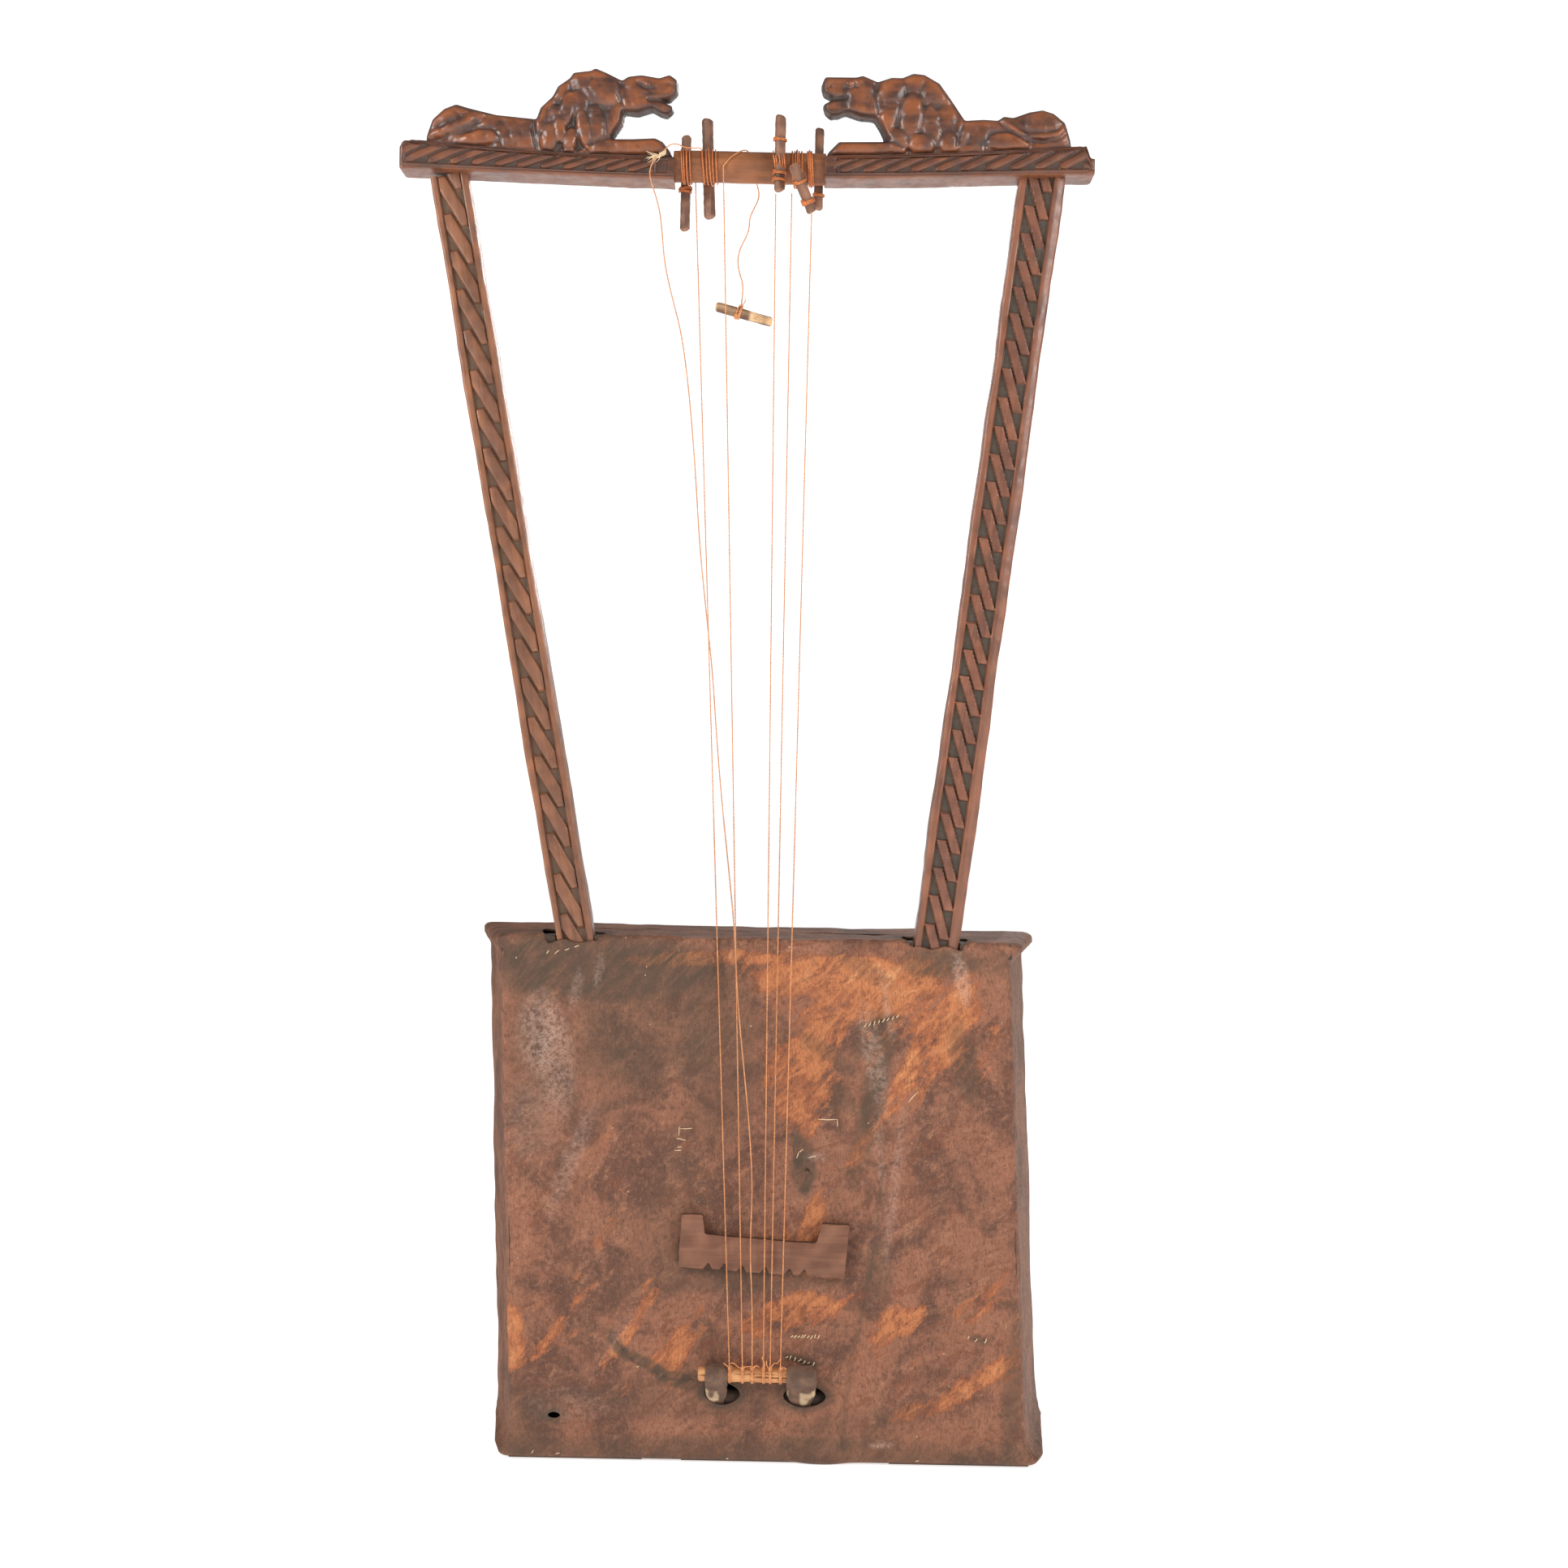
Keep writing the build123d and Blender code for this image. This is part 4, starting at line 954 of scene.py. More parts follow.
# Holes: middle, half width, half height, and how square they are (2 is an oval).
FRONT_HOLES = [(-36.4, 54.6, 13.8, 8.8, 1.8), (28.4, 53.8, 16.8, 8.8, 1.8), (-169.2, 35.6, 5.2, 2.5, 1.7),
               (29.6, 230.4, 2.2, 2.8, 1.6), (26.2, 236.2, 1.6, 2.2, 1.6), (21.2, 240.8, 1.3, 1.6, 1.6),
               (25.6, 219.6, 1.3, 1.6, 1.6), (-73.4, 68.6, 1.7, 1.4, 1.6)]
TOP_HOLES = [(-162.0, 15.5, 26.0, 15.5, 4.0), (126.0, 15.5, 26.5, 15.5, 4.0)]
SLOPE_STEP = 0.05


def snap(points, on_face, plane, holes, grid_faces):
    """Cuts holes: drops the faces inside, then moves the points of the rim onto it."""
    first, second = plane
    faces = np.asarray(grid_faces)
    gap = np.full(len(points), 1e9)
    for hole in holes:
        distance = hole_distance(points[:, first], points[:, second], hole)
        gap = np.where(np.abs(distance) < np.abs(gap), distance, gap)
    inside = (gap < 0.35) & on_face
    keep = ~inside[faces].all(1)
    rim = np.zeros(len(points), bool)
    rim[faces[~keep].ravel()] = True
    kept = np.zeros(len(points), bool)
    kept[faces[keep].ravel()] = True
    rim &= kept
    for _ in range(3):
        for hole in holes:
            distance = hole_distance(points[:, first], points[:, second], hole)
            near = rim & (np.abs(distance) < 6.0)
            slope = []
            for shift_first, shift_second in ((SLOPE_STEP, 0), (0, SLOPE_STEP)):
                moved = hole_distance(points[:, first] + shift_first, points[:, second] + shift_second, hole)
                slope.append((moved - distance) / SLOPE_STEP)
            size = np.maximum(np.hypot(*slope), 0.3)
            points[near, first] -= (distance * slope[0] / size ** 2)[near] * 0.8
            points[near, second] -= (distance * slope[1] / size ** 2)[near] * 0.8
    return faces[keep], gap


wall_z = spaced([BOX_HEIGHT - EDGE_REACH, 396, 280, 246, 214, 88, 30, EDGE_REACH],
                [2.2, 3.0, 2.6, 1.5, 3.0, 1.6, 2.6])
bend = np.linspace(0, 1, 8)[1:-1]
bend_inset, bend_drop = EDGE_REACH * (1 - bend) ** 2, EDGE_REACH * bend ** 2
cap_insets = np.array([61, 54, 47, 41, 36, 32, 28.5, 25.5, 22.5, 20, 17.5, 15, 12.5, 10, 8.0])
insets = np.concatenate([cap_insets, [EDGE_REACH], bend_inset, 0 * wall_z, bend_inset[::-1], [EDGE_REACH],
                         cap_insets[::-1]])
heights = np.concatenate([0 * cap_insets + BOX_HEIGHT, [BOX_HEIGHT], BOX_HEIGHT - bend_drop, wall_z,
                          bend_drop[::-1], [0.0], 0 * cap_insets])
front_x = spaced([0, 24, 44, 136, 220, 236, 298, FRONT_WIDTH], [3.2, 1.3, 2.6, 1.9, 1.4, 2.4, 2.8])
side_length = math.hypot(BOX_DEPTH, SIDE_FLARE)
front_shares = near_corners(FRONT_WIDTH, front_x)
side_shares = near_corners(side_length, np.linspace(0, side_length, 22))
back_shares = near_corners(BACK_WIDTH, np.linspace(0, BACK_WIDTH, 62))
flat_rings = hide_rings(insets, heights, [front_shares, side_shares, back_shares, side_shares])
ring_count, ring_corners = flat_rings.shape[:2]
ring_heights = np.broadcast_to(heights[:, None, None], (ring_count, ring_corners, 1))
hide_points = np.concatenate([flat_rings, ring_heights], -1).reshape(-1, 3)
hide_faces = ring_faces(ring_count, ring_corners, caps=False)
cap_faces = ring_faces(ring_count, ring_corners)[-2:]

x, y, z = hide_points.T
on_front = (y < 0.01) & (z > 1) & (z < BOX_HEIGHT - 1)
hide_faces, front_gap = snap(hide_points, on_front, (0, 2), FRONT_HOLES, hide_faces)
on_top = (z > BOX_HEIGHT - 2.5) & (y > 0.8) & (y < 60)
hide_faces, top_gap = snap(hide_points, on_top, (0, 1), TOP_HOLES, hide_faces)

x, y, z = hide_points.T.copy()
fold_lips(hide_points)
front_share = np.exp(-(np.maximum(y, 0) / 5.0) ** 2)
edges_x = np.minimum(x - (FRONT_BASE[0] + LEANS[0] * z / BOX_HEIGHT),
                     FRONT_BASE[1] + LEANS[1] * z / BOX_HEIGHT - x)
from_edge = np.clip(np.minimum(edges_x, np.minimum(z, BOX_HEIGHT - z)), 0, None)
sag = 2.6 * smoothstep(4, 46, from_edge) * (1 - over_arms(x, z))
sag *= 1 - 0.75 * np.exp(-((x + 7) / 80) ** 2 - ((z - 153) / 34) ** 2)
ripple = 0.45 * drift(np.stack([x, z], -1), 60.0, 41)
ripple += 0.28 * drift(np.stack([x * 1.6 + z, z - x], -1), 34.0, 42)
ripple += 0.12 * drift(np.stack([x, z], -1), 12.0, 43)
rim_front = smoothstep(6.0, 0.0, front_gap) * on_front
depth = sag + ripple * smoothstep(0, 20, from_edge) - 0.9 * rim_front
strap_rest = np.exp(-((z - 72) / 9) ** 2) * (smoothstep(60, 52, np.abs(x + 5)))
depth = depth * (1 - 0.5 * strap_rest)
# Two creases run down the skin beside the right arm, and one beside the left arm.
for foot, head, side, size in ((RIGHT_FOOT, RIGHT_HEAD, -19.5, 0.9), (RIGHT_FOOT, RIGHT_HEAD, 19.0, 0.5),
                               (LEFT_FOOT, LEFT_HEAD, 17.0, 0.7), (LEFT_FOOT, LEFT_HEAD, -17.0, 0.4)):
    crease = np.abs(x - arm_centre(foot, head, z) - side - 2.5 * np.sin(z / 38.0))
    depth -= size * np.exp(-(crease / 2.6) ** 2) * smoothstep(20, 90, z)
depth = np.where(on_front, np.clip(depth, -1.3, 3.0), depth)
hide_points[:, 1] += depth * front_share * ((z > 0.5) & (z < BOX_HEIGHT - 0.5))

# The other faces are a little wavy, and the back seam overlaps in a low step.
wave = drift(hide_points, 70.0, 44) * 0.9 + drift(hide_points, 22.0, 45) * 0.35
side_share = smoothstep(3.0, 12.0, y) * smoothstep(BOX_DEPTH, BOX_DEPTH - 6, y)
outward = np.where(x > 0, 1, -1)
on_wall = (insets.repeat(ring_corners) < 0.01)
hide_points[:, 0] += outward * wave * side_share * on_wall
edge_wave = drift(np.stack([z, 0 * z + 7], -1), 40.0, 46) * 1.1
edge_wave += drift(np.stack([z, 0 * z], -1), 13.0, 47) * 0.5
at_side = smoothstep(14.0, 0.0, edges_x) * front_share
hide_points[:, 0] += outward * edge_wave * at_side * smoothstep(2, 14, z) * smoothstep(409, 400, z)
on_back = y > BOX_DEPTH - 0.5
seam = smoothstep(-2.0, 1.0, x + 9 + 2.5 * np.sin(z / 29.0)) * smoothstep(22.0, 6.0, x + 9)
hide_points[:, 1] += on_back * (wave * 0.8 + 1.0 * seam * on_wall)
on_cap_top = (z > BOX_HEIGHT - 0.5)
hide_points[:, 2] += on_cap_top * (wave * 0.6 - 0.2)
hide_points[:, 2] += smoothstep(7.0, 0.0, top_gap) * on_cap_top * (0.9 + 0.5 * np.sin(x / 3.0 + y / 4.0))
# The front skin dips and curls where each arm comes out.
for middle, half in ((-162.0, 24.0), (126.0, 25.0)):
    beside = smoothstep(half + 5, half - 7, np.abs(x - middle))
    at_edge = smoothstep(BOX_HEIGHT - 16, BOX_HEIGHT, z) * smoothstep(3.2, 1.5, y)
    hide_points[:, 2] -= beside * at_edge * (4.2 + 1.4 * np.sin(x / 3.7))
    hide_points[:, 1] -= beside * at_edge * 0.9
# The foot of the right arm pushes the base out, so the lower edge bulges there.
x, y, z = hide_points.T
bulge = np.exp(-((x - 43) / 20) ** 2) * smoothstep(26, 2, z) * smoothstep(30, 0, y)
hide_points[:, 1] -= 1.6 * bulge
lifted = 1 - np.exp(-(np.abs(x - 42) / 19) ** 3)
hide_points[:, 2] += 1.5 * lifted * smoothstep(16, 0, z) * smoothstep(60, 0, y)
hide_points[:, 2] = np.maximum(hide_points[:, 2], 0.05)

x, y, z = hide_points.T
front_paint = smoothstep(8.0, 0.0, y)
rubbed = patches(x, z, RUBBED, 0.75) * front_paint
side_edge = smoothstep(5.0, 0.0, np.abs(edges_x)) * smoothstep(14.0, 2.0, np.abs(y))
rubbed = np.clip(rubbed + 0.55 * side_edge * (0.5 + 0.5 * drift(hide_points, 20.0, 48)), 0, 1)
dark_paint = patches(x, z, DARK, 0.8) * front_paint + 0.35 * (1 - front_paint)
dark_paint += (0.8 * smoothstep(6.0, 0.5, front_gap) * on_front
               + 0.6 * smoothstep(8.0, 1.0, top_gap) * on_cap_top)
dark_paint += 0.4 * smoothstep(12.0, 2.0, z) * (1 - 0.4 * front_paint)
# Painted shade along the crease beside the right arm.
crease = np.abs(x - arm_centre(RIGHT_FOOT, RIGHT_HEAD, z) + 19.5 + 2.5 * np.sin(z / 38.0))
crease_run = smoothstep(6, 30, z) * smoothstep(330, 200, z)
dark_paint += 0.5 * smoothstep(3.0, 0.6, crease) * crease_run * front_paint
# The right wall is painted paler, as painted light, together with the painted sheen of the front.
lit_right_wall = smoothstep(6, 12, y) * (wall_x(1, y, z) - x < 12) * (y < BOX_DEPTH - 3)
pale = patches(x, z, SHEEN, 0.9) * front_paint * 0.62 + 0.22 * lit_right_wall
hide = mesh_piece("hide_cover_skin", hide_points, hide_faces.tolist() + cap_faces, "frame", "hide",
                  ["hide_cover"], 50.0, {"rubbed": rubbed, "dark": np.clip(dark_paint, 0, 1), "pale": pale,
                                        "matt": (1 - front_paint) * np.where(x < -190, 1.0, 0.6)})
shell = hide.modifiers.new("thickness", "SOLIDIFY")
shell.thickness = HIDE_THICKNESS * MM
shell.offset = -1.0
shell.use_rim = True
hide.data = bpy.data.meshes.new_from_object(hide.evaluated_get(bpy.context.evaluated_depsgraph_get()))
hide.modifiers.clear()


# ---- repairs of the hide ---------------------------------------------------------------------
front_skin = hide_points[on_front]


def on_skin(places, lift=0.0):
    """Points on the front skin at some X and Z, each lifted off it by some mm."""
    places = np.asarray(places, float)
    apart = np.linalg.norm(front_skin[None, :, ::2] - places[:, None], axis=2)
    near = np.argsort(apart, axis=1)[:, :4]
    return np.stack([places[:, 0], front_skin[near, 1].mean(1) - np.asarray(lift), places[:, 1]], -1)


# Tears that were sewn up: the line in X and Z, the height of its ridge, and the number of stitches.
TEARS = [
    ([(70.0, 347.5), (83.4, 351.4), (97.8, 356.2)], 1.0, 8),
    ([(-123.7, 99.9), (-115.8, 87.9), (-106.6, 79.1), (-93.7, 73.6), (-84.7, 68.0), (-72.0, 65.6),
      (-54.0, 64.9)], 0.8, 0),
    ([(13.0, 85.3), (24.0, 82.2), (35.8, 79.7)], 1.1, 7),
    ([(17.5, 101.0), (39.5, 101.1)], 0.4, 9),
    ([(16.0, 252.0), (17.5, 243.0), (23.6, 234.4), (27.0, 227.0), (23.0, 219.0), (20.4, 213.5)], 0.9, 0),
    ([(157.0, 103.2), (164.0, 100.4), (171.5, 100.6)], 0.5, 3),
]
# Single stitches and scratches down to the raw skin: from and to, in X and Z.
MARKS = [
    ((-74.3, 265.0), (-74.6, 257.5)), ((-74.0, 263.3), (-64.0, 263.9)), ((-76.5, 255.6), (-69.0, 254.0)),
    ((-78.0, 246.2), (-72.4, 246.6)), ((-76.0, 248.6), (-71.8, 248.8)), ((35.0, 272.8), (50.3, 273.0)),
    ((50.3, 273.0), (50.6, 267.2)), ((-181.6, 399.4), (-179.6, 402.4)), ((-175.4, 399.6), (-171.6, 402.8)),
    ((-167.6, 402.8), (-163.6, 404.4)), ((-160.0, 405.2), (-156.0, 406.6)), ((-104.8, 75.0), (-102.4, 76.0)),
    ((-186.0, 5.4), (-184.6, 8.2)), ((-167.0, 5.2), (-163.6, 6.2)), ((-32.4, 4.2), (-30.6, 4.8)),
    ((117.0, 5.2), (119.6, 5.6)), ((20.4, 246.4), (23.6, 248.8)), ((18.6, 241.4), (20.0, 246.4)),
    ((28.0, 242.0), (34.0, 243.6)), ((106.0, 288.0), (113.6, 296.4)),
]
THREAD_RADIUS, SCRATCH_RADIUS = 0.42, 0.30
repair_chance = np.random.default_rng(61)
ridges, threads = [], []
for line, height, count in TEARS:
    flat = [(x, 0, z) for x, z in line]
    path = smooth_path(flat, 0.9)[:, ::2]
    along = np.linspace(0, 1, len(path))
    wander = drift(path, 7.0, int(repair_chance.integers(1000)))
    path[:, 1] += 0.5 * wander
    size = height * (0.75 + 0.35 * wander) * np.minimum(1, 8 * np.minimum(along, 1 - along) + 0.15)
    ridges.append(tube(on_skin(path, -0.25), np.maximum(size, 0.1), 8))
    for place in np.linspace(0.04, 0.96, count):
        x, z = path[int(place * (len(path) - 1))]
        turn = math.radians(repair_chance.uniform(25, 75))
        reach = 1.5 * repair_chance.uniform(0.7, 1.1)
        step_x, step_z = math.cos(turn) * reach, math.sin(turn) * reach
        line = [(x - step_x, z - step_z), (x, z), (x + step_x, z + step_z)]
        ends = on_skin(line, [0.0, height + 0.25, 0.0])
        threads.append(tube(smooth_path(ends, 0.4), THREAD_RADIUS, 6))
for start, end in MARKS:
    middle = (np.add(start, end) / 2 + repair_chance.uniform(-0.4, 0.4, 2)).tolist()
    path = smooth_path(on_skin([start, middle, end], 0.05), 0.7)
    share = np.linspace(-1, 1, len(path))
    threads.append(tube(path, SCRATCH_RADIUS * (1.15 - 0.7 * share ** 2), 6))
ridge_points, ridge_faces = merge(ridges)
mesh_piece("sewn_tear_ridges", ridge_points, ridge_faces, "frame", "hide", [], 50.0,
           {"dark": np.ones(len(ridge_points))})
thread_points, thread_faces = merge(threads)
mesh_piece("hide_repair_threads", thread_points, thread_faces, "frame", "fibre", [], 50.0)


# ---- lions -----------------------------------------------------------------------------------
LION_MIDDLE_Y = 8.6
LION_STEP = 0.8


def from_line(x, z, line, closed=False):
    """Distance of each point of a grid from a line of (x, z) points."""
    ends = list(zip(line, line[1:])) + ([(line[-1], line[0])] if closed else [])
    nearest = np.full(x.shape, 1e9)
    for (ax, az), (bx, bz) in ends:
        run_x, run_z = bx - ax, bz - az
        share = np.clip(((x - ax) * run_x + (z - az) * run_z) / (run_x ** 2 + run_z ** 2), 0, 1)
        nearest = np.minimum(nearest, np.hypot(x - ax - share * run_x, z - az - share * run_z))
    return nearest


def inside_line(x, z, line):
    """True inside a closed line of (x, z) points."""
    crossed = np.zeros(x.shape, bool)
    for (ax, az), (bx, bz) in zip(line, line[1:] + line[:1]):
        if az != bz:
            crossed ^= ((az > z) != (bz > z)) & (x < (bx - ax) * (z - az) / (bz - az) + ax)
    return crossed


def soften(grid, rounds):
    """A grid of numbers, blurred a little in each round."""
    for _ in range(rounds):
        edged = np.pad(grid, 1, mode="edge")
        grid = (edged[:-2, 1:-1] + edged[2:, 1:-1] + edged[1:-1, :-2] + edged[1:-1, 2:] + 2 * grid) / 6
    return grid


def net(field, low, step):
    """Surface where a field of numbers on a block of points crosses zero."""
    inside = field > 0
    shape = tuple(size - 1 for size in field.shape)

    def corner(block, i, j, k):
        return block[i:i + shape[0], j:j + shape[1], k:k + shape[2]]

    places = [(i, j, k) for i in (0, 1) for j in (0, 1) for k in (0, 1)]
    count_in = sum(corner(inside, *place).astype(int) for place in places)
    mixed = (count_in > 0) & (count_in < 8)
    total, crossings = np.zeros((*shape, 3)), np.zeros(shape)
    for place in places:
        for axis in range(3):
            if place[axis]:
                continue
            other = tuple(value + (index == axis) for index, value in enumerate(place))
            first, second = corner(field, *place), corner(field, *other)
            cut = (first > 0) != (second > 0)
            share = np.where(cut, first / np.where(cut, first - second, 1), 0)
            for index in range(3):
                total[..., index] += cut * (place[index] + (share if index == axis else 0))
            crossings += cut
    number = np.full(shape, -1)
    number[mixed] = np.arange(mixed.sum())
    points = np.argwhere(mixed) + total[mixed] / crossings[mixed][:, None]
    faces = []
    for axis in range(3):
        one, two = [index for index in range(3) if index != axis]
        ahead = [slice(1, -1)] * 3
        behind = [slice(1, -1)] * 3
        ahead[axis], behind[axis] = slice(1, None), slice(0, -1)
        at = np.argwhere(inside[tuple(behind)] != inside[tuple(ahead)])
        at += 1
        at[:, axis] -= 1
        corners = []
        for shift_one, shift_two in ((0, 0), (-1, 0), (-1, -1), (0, -1)):
            cell = at.copy()
            cell[:, one] += shift_one
            cell[:, two] += shift_two
            corners.append(number[tuple(cell.T)])
        faces.append(np.stack(corners, -1))
    return points * step + low, np.vstack(faces)


def lion(name, outline, lobes, lines, eye, block_top, seed):
    """Resting lion in the round: both sides carry the same lobes, folds and bands."""
    xs = np.arange(min(x for x, _ in outline) - 4, max(x for x, _ in outline) + 4, LION_STEP)
    zs = np.arange(min(z for _, z in outline) - 4, max(z for _, z in outline) + 4, LION_STEP)
    x, z = np.meshgrid(xs, zs, indexing="ij")
    inward = from_line(x, z, outline, True) * np.where(inside_line(x, z, outline), 1, -1)
    inward = soften(inward, 3)
    height = np.full(x.shape, 9.0)
    for *oval, top in lobes:
        spread = oval_spread(x, z, *oval)
        rise = 1.8 + 0.24 * min(oval[2:4])
        dome = top - rise * (1 - np.sqrt(np.clip(1 - spread / 1.35, 0, 1)))
        height = np.maximum(height, np.where(spread < 1.35, dome, 0))
    for line, raised, width in lines:
        gone = from_line(x, z, line)
        height += raised * np.exp(-(gone / width) ** 2)
        if raised > 0:
            height -= 0.7 * raised * np.exp(-((gone - 1.9 * width) / (0.55 * width)) ** 2)
    gone = np.hypot(x - eye[0], z - eye[1])
    height += 1.3 * np.exp(-(gone / 1.5) ** 2) - 1.2 * np.exp(-((gone - 3.2) / 0.9) ** 2)
    flat = np.stack([x.ravel(), z.ravel()], -1)
    height += (0.28 * drift(flat, 9.0, seed) + 0.16 * drift(flat, 4.5, seed + 1)).reshape(x.shape)
    height = soften(height, 3)
    limit = 15.0 * np.sqrt(1 - (1 - np.clip(inward / 11.0, 0, 1)) ** 2)
    limit = np.where(inward > 0, limit, inward)
    solid = np.minimum(height, limit) - 0.25 * np.exp(-((height - limit) / 1.2) ** 2)
    ys = np.arange(-16.0, 16.01, LION_STEP)
    field = solid[:, None, :] - np.abs(ys)[None, :, None]
    points, faces = net(field, (xs[0], ys[0] + LION_MIDDLE_Y, zs[0]), LION_STEP)
    relief = 0.6 * (solid - soften(solid, 20)) + 0.4 * (solid - soften(solid, 80))
    cell = ((points[:, [0, 2]] - (xs[0], zs[0])) / LION_STEP).round().astype(int)
    high = relief[cell[:, 0], cell[:, 1]]
    side = smoothstep(2.0, 6.0, np.abs(points[:, 1] - LION_MIDDLE_Y))
    from_rim = inward[cell[:, 0], cell[:, 1]]
    worn = np.clip(0.10 + 0.85 * high + 0.45 * drift(points, 20.0, seed + 2), 0, 1) * side
    worn *= smoothstep(1.0, 6.0, from_rim)
    over_block = points[:, 2] - np.interp(points[:, 0], *zip(*sorted(block_top)))
    # Painted shade: darker in the hollows of the carving, along the rim where the sides turn away, and just above
    # the block.
    deep = (np.clip(-0.60 * high + 0.05, 0, 1) + 0.45 * smoothstep(5.0, 0.5, from_rim)
            + 0.7 * smoothstep(3.5, 0.5, over_block))
    mesh_piece(f"carved_{name}", points, faces.tolist(), "frame", "lion", [name], 70.0,
               {"worn": worn, "deep": np.clip(deep, 0, 0.9)})


LEFT_LION = [
    (-290.0, 1036.0), (-289.8, 1043.7), (-285.4, 1057.0), (-276.3, 1065.7), (-266.3, 1069.8),
    (-256.2, 1066.9), (-245.3, 1064.4), (-234.3, 1061.9), (-218.8, 1060.6), (-203.2, 1059.2),
    (-200.3, 1067.9), (-190.7, 1077.2), (-186.7, 1085.3), (-177.5, 1091.7), (-174.5, 1096.4),
    (-160.6, 1098.2), (-156.7, 1100.4), (-148.1, 1097.0), (-135.6, 1091.0), (-131.0, 1094.1),
    (-120.2, 1095.6), (-106.2, 1093.4), (-97.9, 1096.3), (-91.6, 1091.8), (-91.2, 1080.9), (-96.5, 1075.8),
    (-104.0, 1074.6), (-95.1, 1071.5), (-94.4, 1066.4), (-99.4, 1062.6), (-105.6, 1064.4), (-111.3, 1067.6),
    (-122.7, 1063.8), (-132.8, 1064.9), (-134.4, 1055.8), (-141.9, 1044.6), (-125.4, 1045.0),
    (-108.4, 1046.0), (-102.1, 1043.0), (-95.8, 1035.0), (-94.5, 1028.0), (-162.0, 1027.6),
    (-224.0, 1030.4),
]
LEFT_LOBES = [
    # middle x, middle z, half length, half width, turn, height above the middle plane
    (-268.0, 1054.6, 16.5, 12.5, 15, 12.0), (-277.0, 1050.0, 12.0, 9.5, -20, 11.0),
    (-241.0, 1051.0, 15.0, 10.0, 0, 10.4), (-246.0, 1042.0, 18.0, 5.5, 8, 12.2),
    (-218.0, 1046.0, 20.0, 13.5, 0, 11.2), (-226.0, 1036.5, 15.0, 5.0, 0, 10.0),
    (-166.9, 1087.6, 9.8, 8.6, -10, 11.6), (-153.0, 1090.5, 10.5, 5.4, -32, 11.2),
    (-183.9, 1081.0, 6.6, 9.8, -15, 11.6), (-194.4, 1069.5, 6.6, 9.0, -30, 11.2),
    (-198.6, 1056.5, 4.8, 9.5, -10, 12.2), (-150.5, 1079.2, 15.0, 10.0, -8, 13.2),
    (-178.3, 1064.5, 5.8, 13.0, -15, 13.6), (-164.6, 1050.6, 5.2, 14.8, 14, 14.0),
    (-191.3, 1043.6, 6.4, 11.6, -10, 13.4), (-175.4, 1039.6, 5.0, 9.6, -12, 13.8),
    (-155.0, 1052.0, 6.4, 17.2, 6, 13.2), (-187.6, 1060.0, 6.6, 7.6, 0, 12.4),
    (-183.4, 1049.6, 4.6, 9.6, 4, 14.2), (-141.6, 1057.8, 7.6, 16.5, -25, 11.2),
    (-135.0, 1071.0, 9.0, 9.6, 0, 10.4), (-168.5, 1070.5, 6.2, 9.0, 20, 12.8),
    (-124.8, 1080.2, 11.5, 12.4, 0, 10.8), (-118.6, 1088.4, 6.6, 3.6, -18, 11.0),
    (-121.6, 1071.6, 12.0, 8.4, 0, 10.6), (-102.8, 1085.4, 11.4, 8.0, 8, 8.8),
    (-95.0, 1090.2, 4.6, 4.6, 0, 9.2), (-103.6, 1078.2, 9.4, 3.8, 0, 9.0),
    (-102.0, 1067.4, 8.8, 5.2, -15, 7.6), (-128.7, 1038.2, 27.0, 6.8, 2, 12.6),
    (-108.6, 1038.4, 10.4, 6.2, -20, 12.9), (-150.4, 1034.6, 9.6, 6.6, 0, 12.6),
]
LEFT_LINES = [
    # line, how far it stands up (below 0: how deep it is cut), half width
    ([(-288.1, 1041.5), (-275.0, 1046.2), (-264.2, 1050.8), (-254.9, 1056.4), (-246.0, 1061.4)], 1.5, 2.6),
    ([(-261.0, 1043.6), (-248.6, 1049.2), (-237.7, 1049.4), (-232.5, 1044.7), (-229.0, 1036.7)], -1.3, 0.9),
    ([(-203.2, 1061.3), (-204.6, 1048.8), (-202.5, 1033.4)], -2.0, 1.5),
    ([(-135.6, 1088.4), (-137.6, 1078.1), (-133.0, 1066.7)], -1.5, 1.4),
    ([(-113.7, 1074.4), (-105.0, 1074.8), (-96.0, 1073.7)], -3.4, 1.6),
    ([(-121.8, 1087.2), (-114.8, 1082.6), (-108.5, 1084.8)], -0.9, 0.8),
    ([(-183.0, 1033.7), (-169.0, 1034.2), (-152.0, 1041.6), (-141.2, 1043.6)], -1.8, 1.3),
    ([(-94.6, 1085.6), (-98.6, 1087.6)], -1.2, 1.0),
    ([(-270.0, 1064.0), (-262.0, 1058.0), (-262.6, 1051.5)], -0.8, 1.1),
]
RIGHT_LION = [
    (221.5, 1041.0), (220.2, 1050.1), (216.0, 1063.5), (206.6, 1071.1), (197.2, 1074.0), (186.4, 1072.0),
    (174.0, 1067.4), (166.3, 1068.4), (161.8, 1065.0), (150.8, 1065.6), (136.3, 1064.5), (125.7, 1080.0),
    (116.1, 1093.0), (103.6, 1100.0), (94.3, 1100.9), (85.8, 1097.2), (77.3, 1097.4), (66.5, 1093.6),
    (54.8, 1098.5), (49.4, 1097.0), (24.5, 1096.8), (22.0, 1089.6), (23.4, 1082.4), (31.0, 1078.9),
    (23.6, 1075.0), (24.8, 1068.4), (29.8, 1064.4), (36.0, 1065.0), (42.2, 1067.6), (53.1, 1064.0),
    (64.0, 1063.2), (68.8, 1055.7), (73.0, 1046.6), (36.4, 1045.8), (28.0, 1037.0), (26.4, 1030.4),
    (79.5, 1031.6), (135.0, 1034.3), (188.0, 1038.4),
]
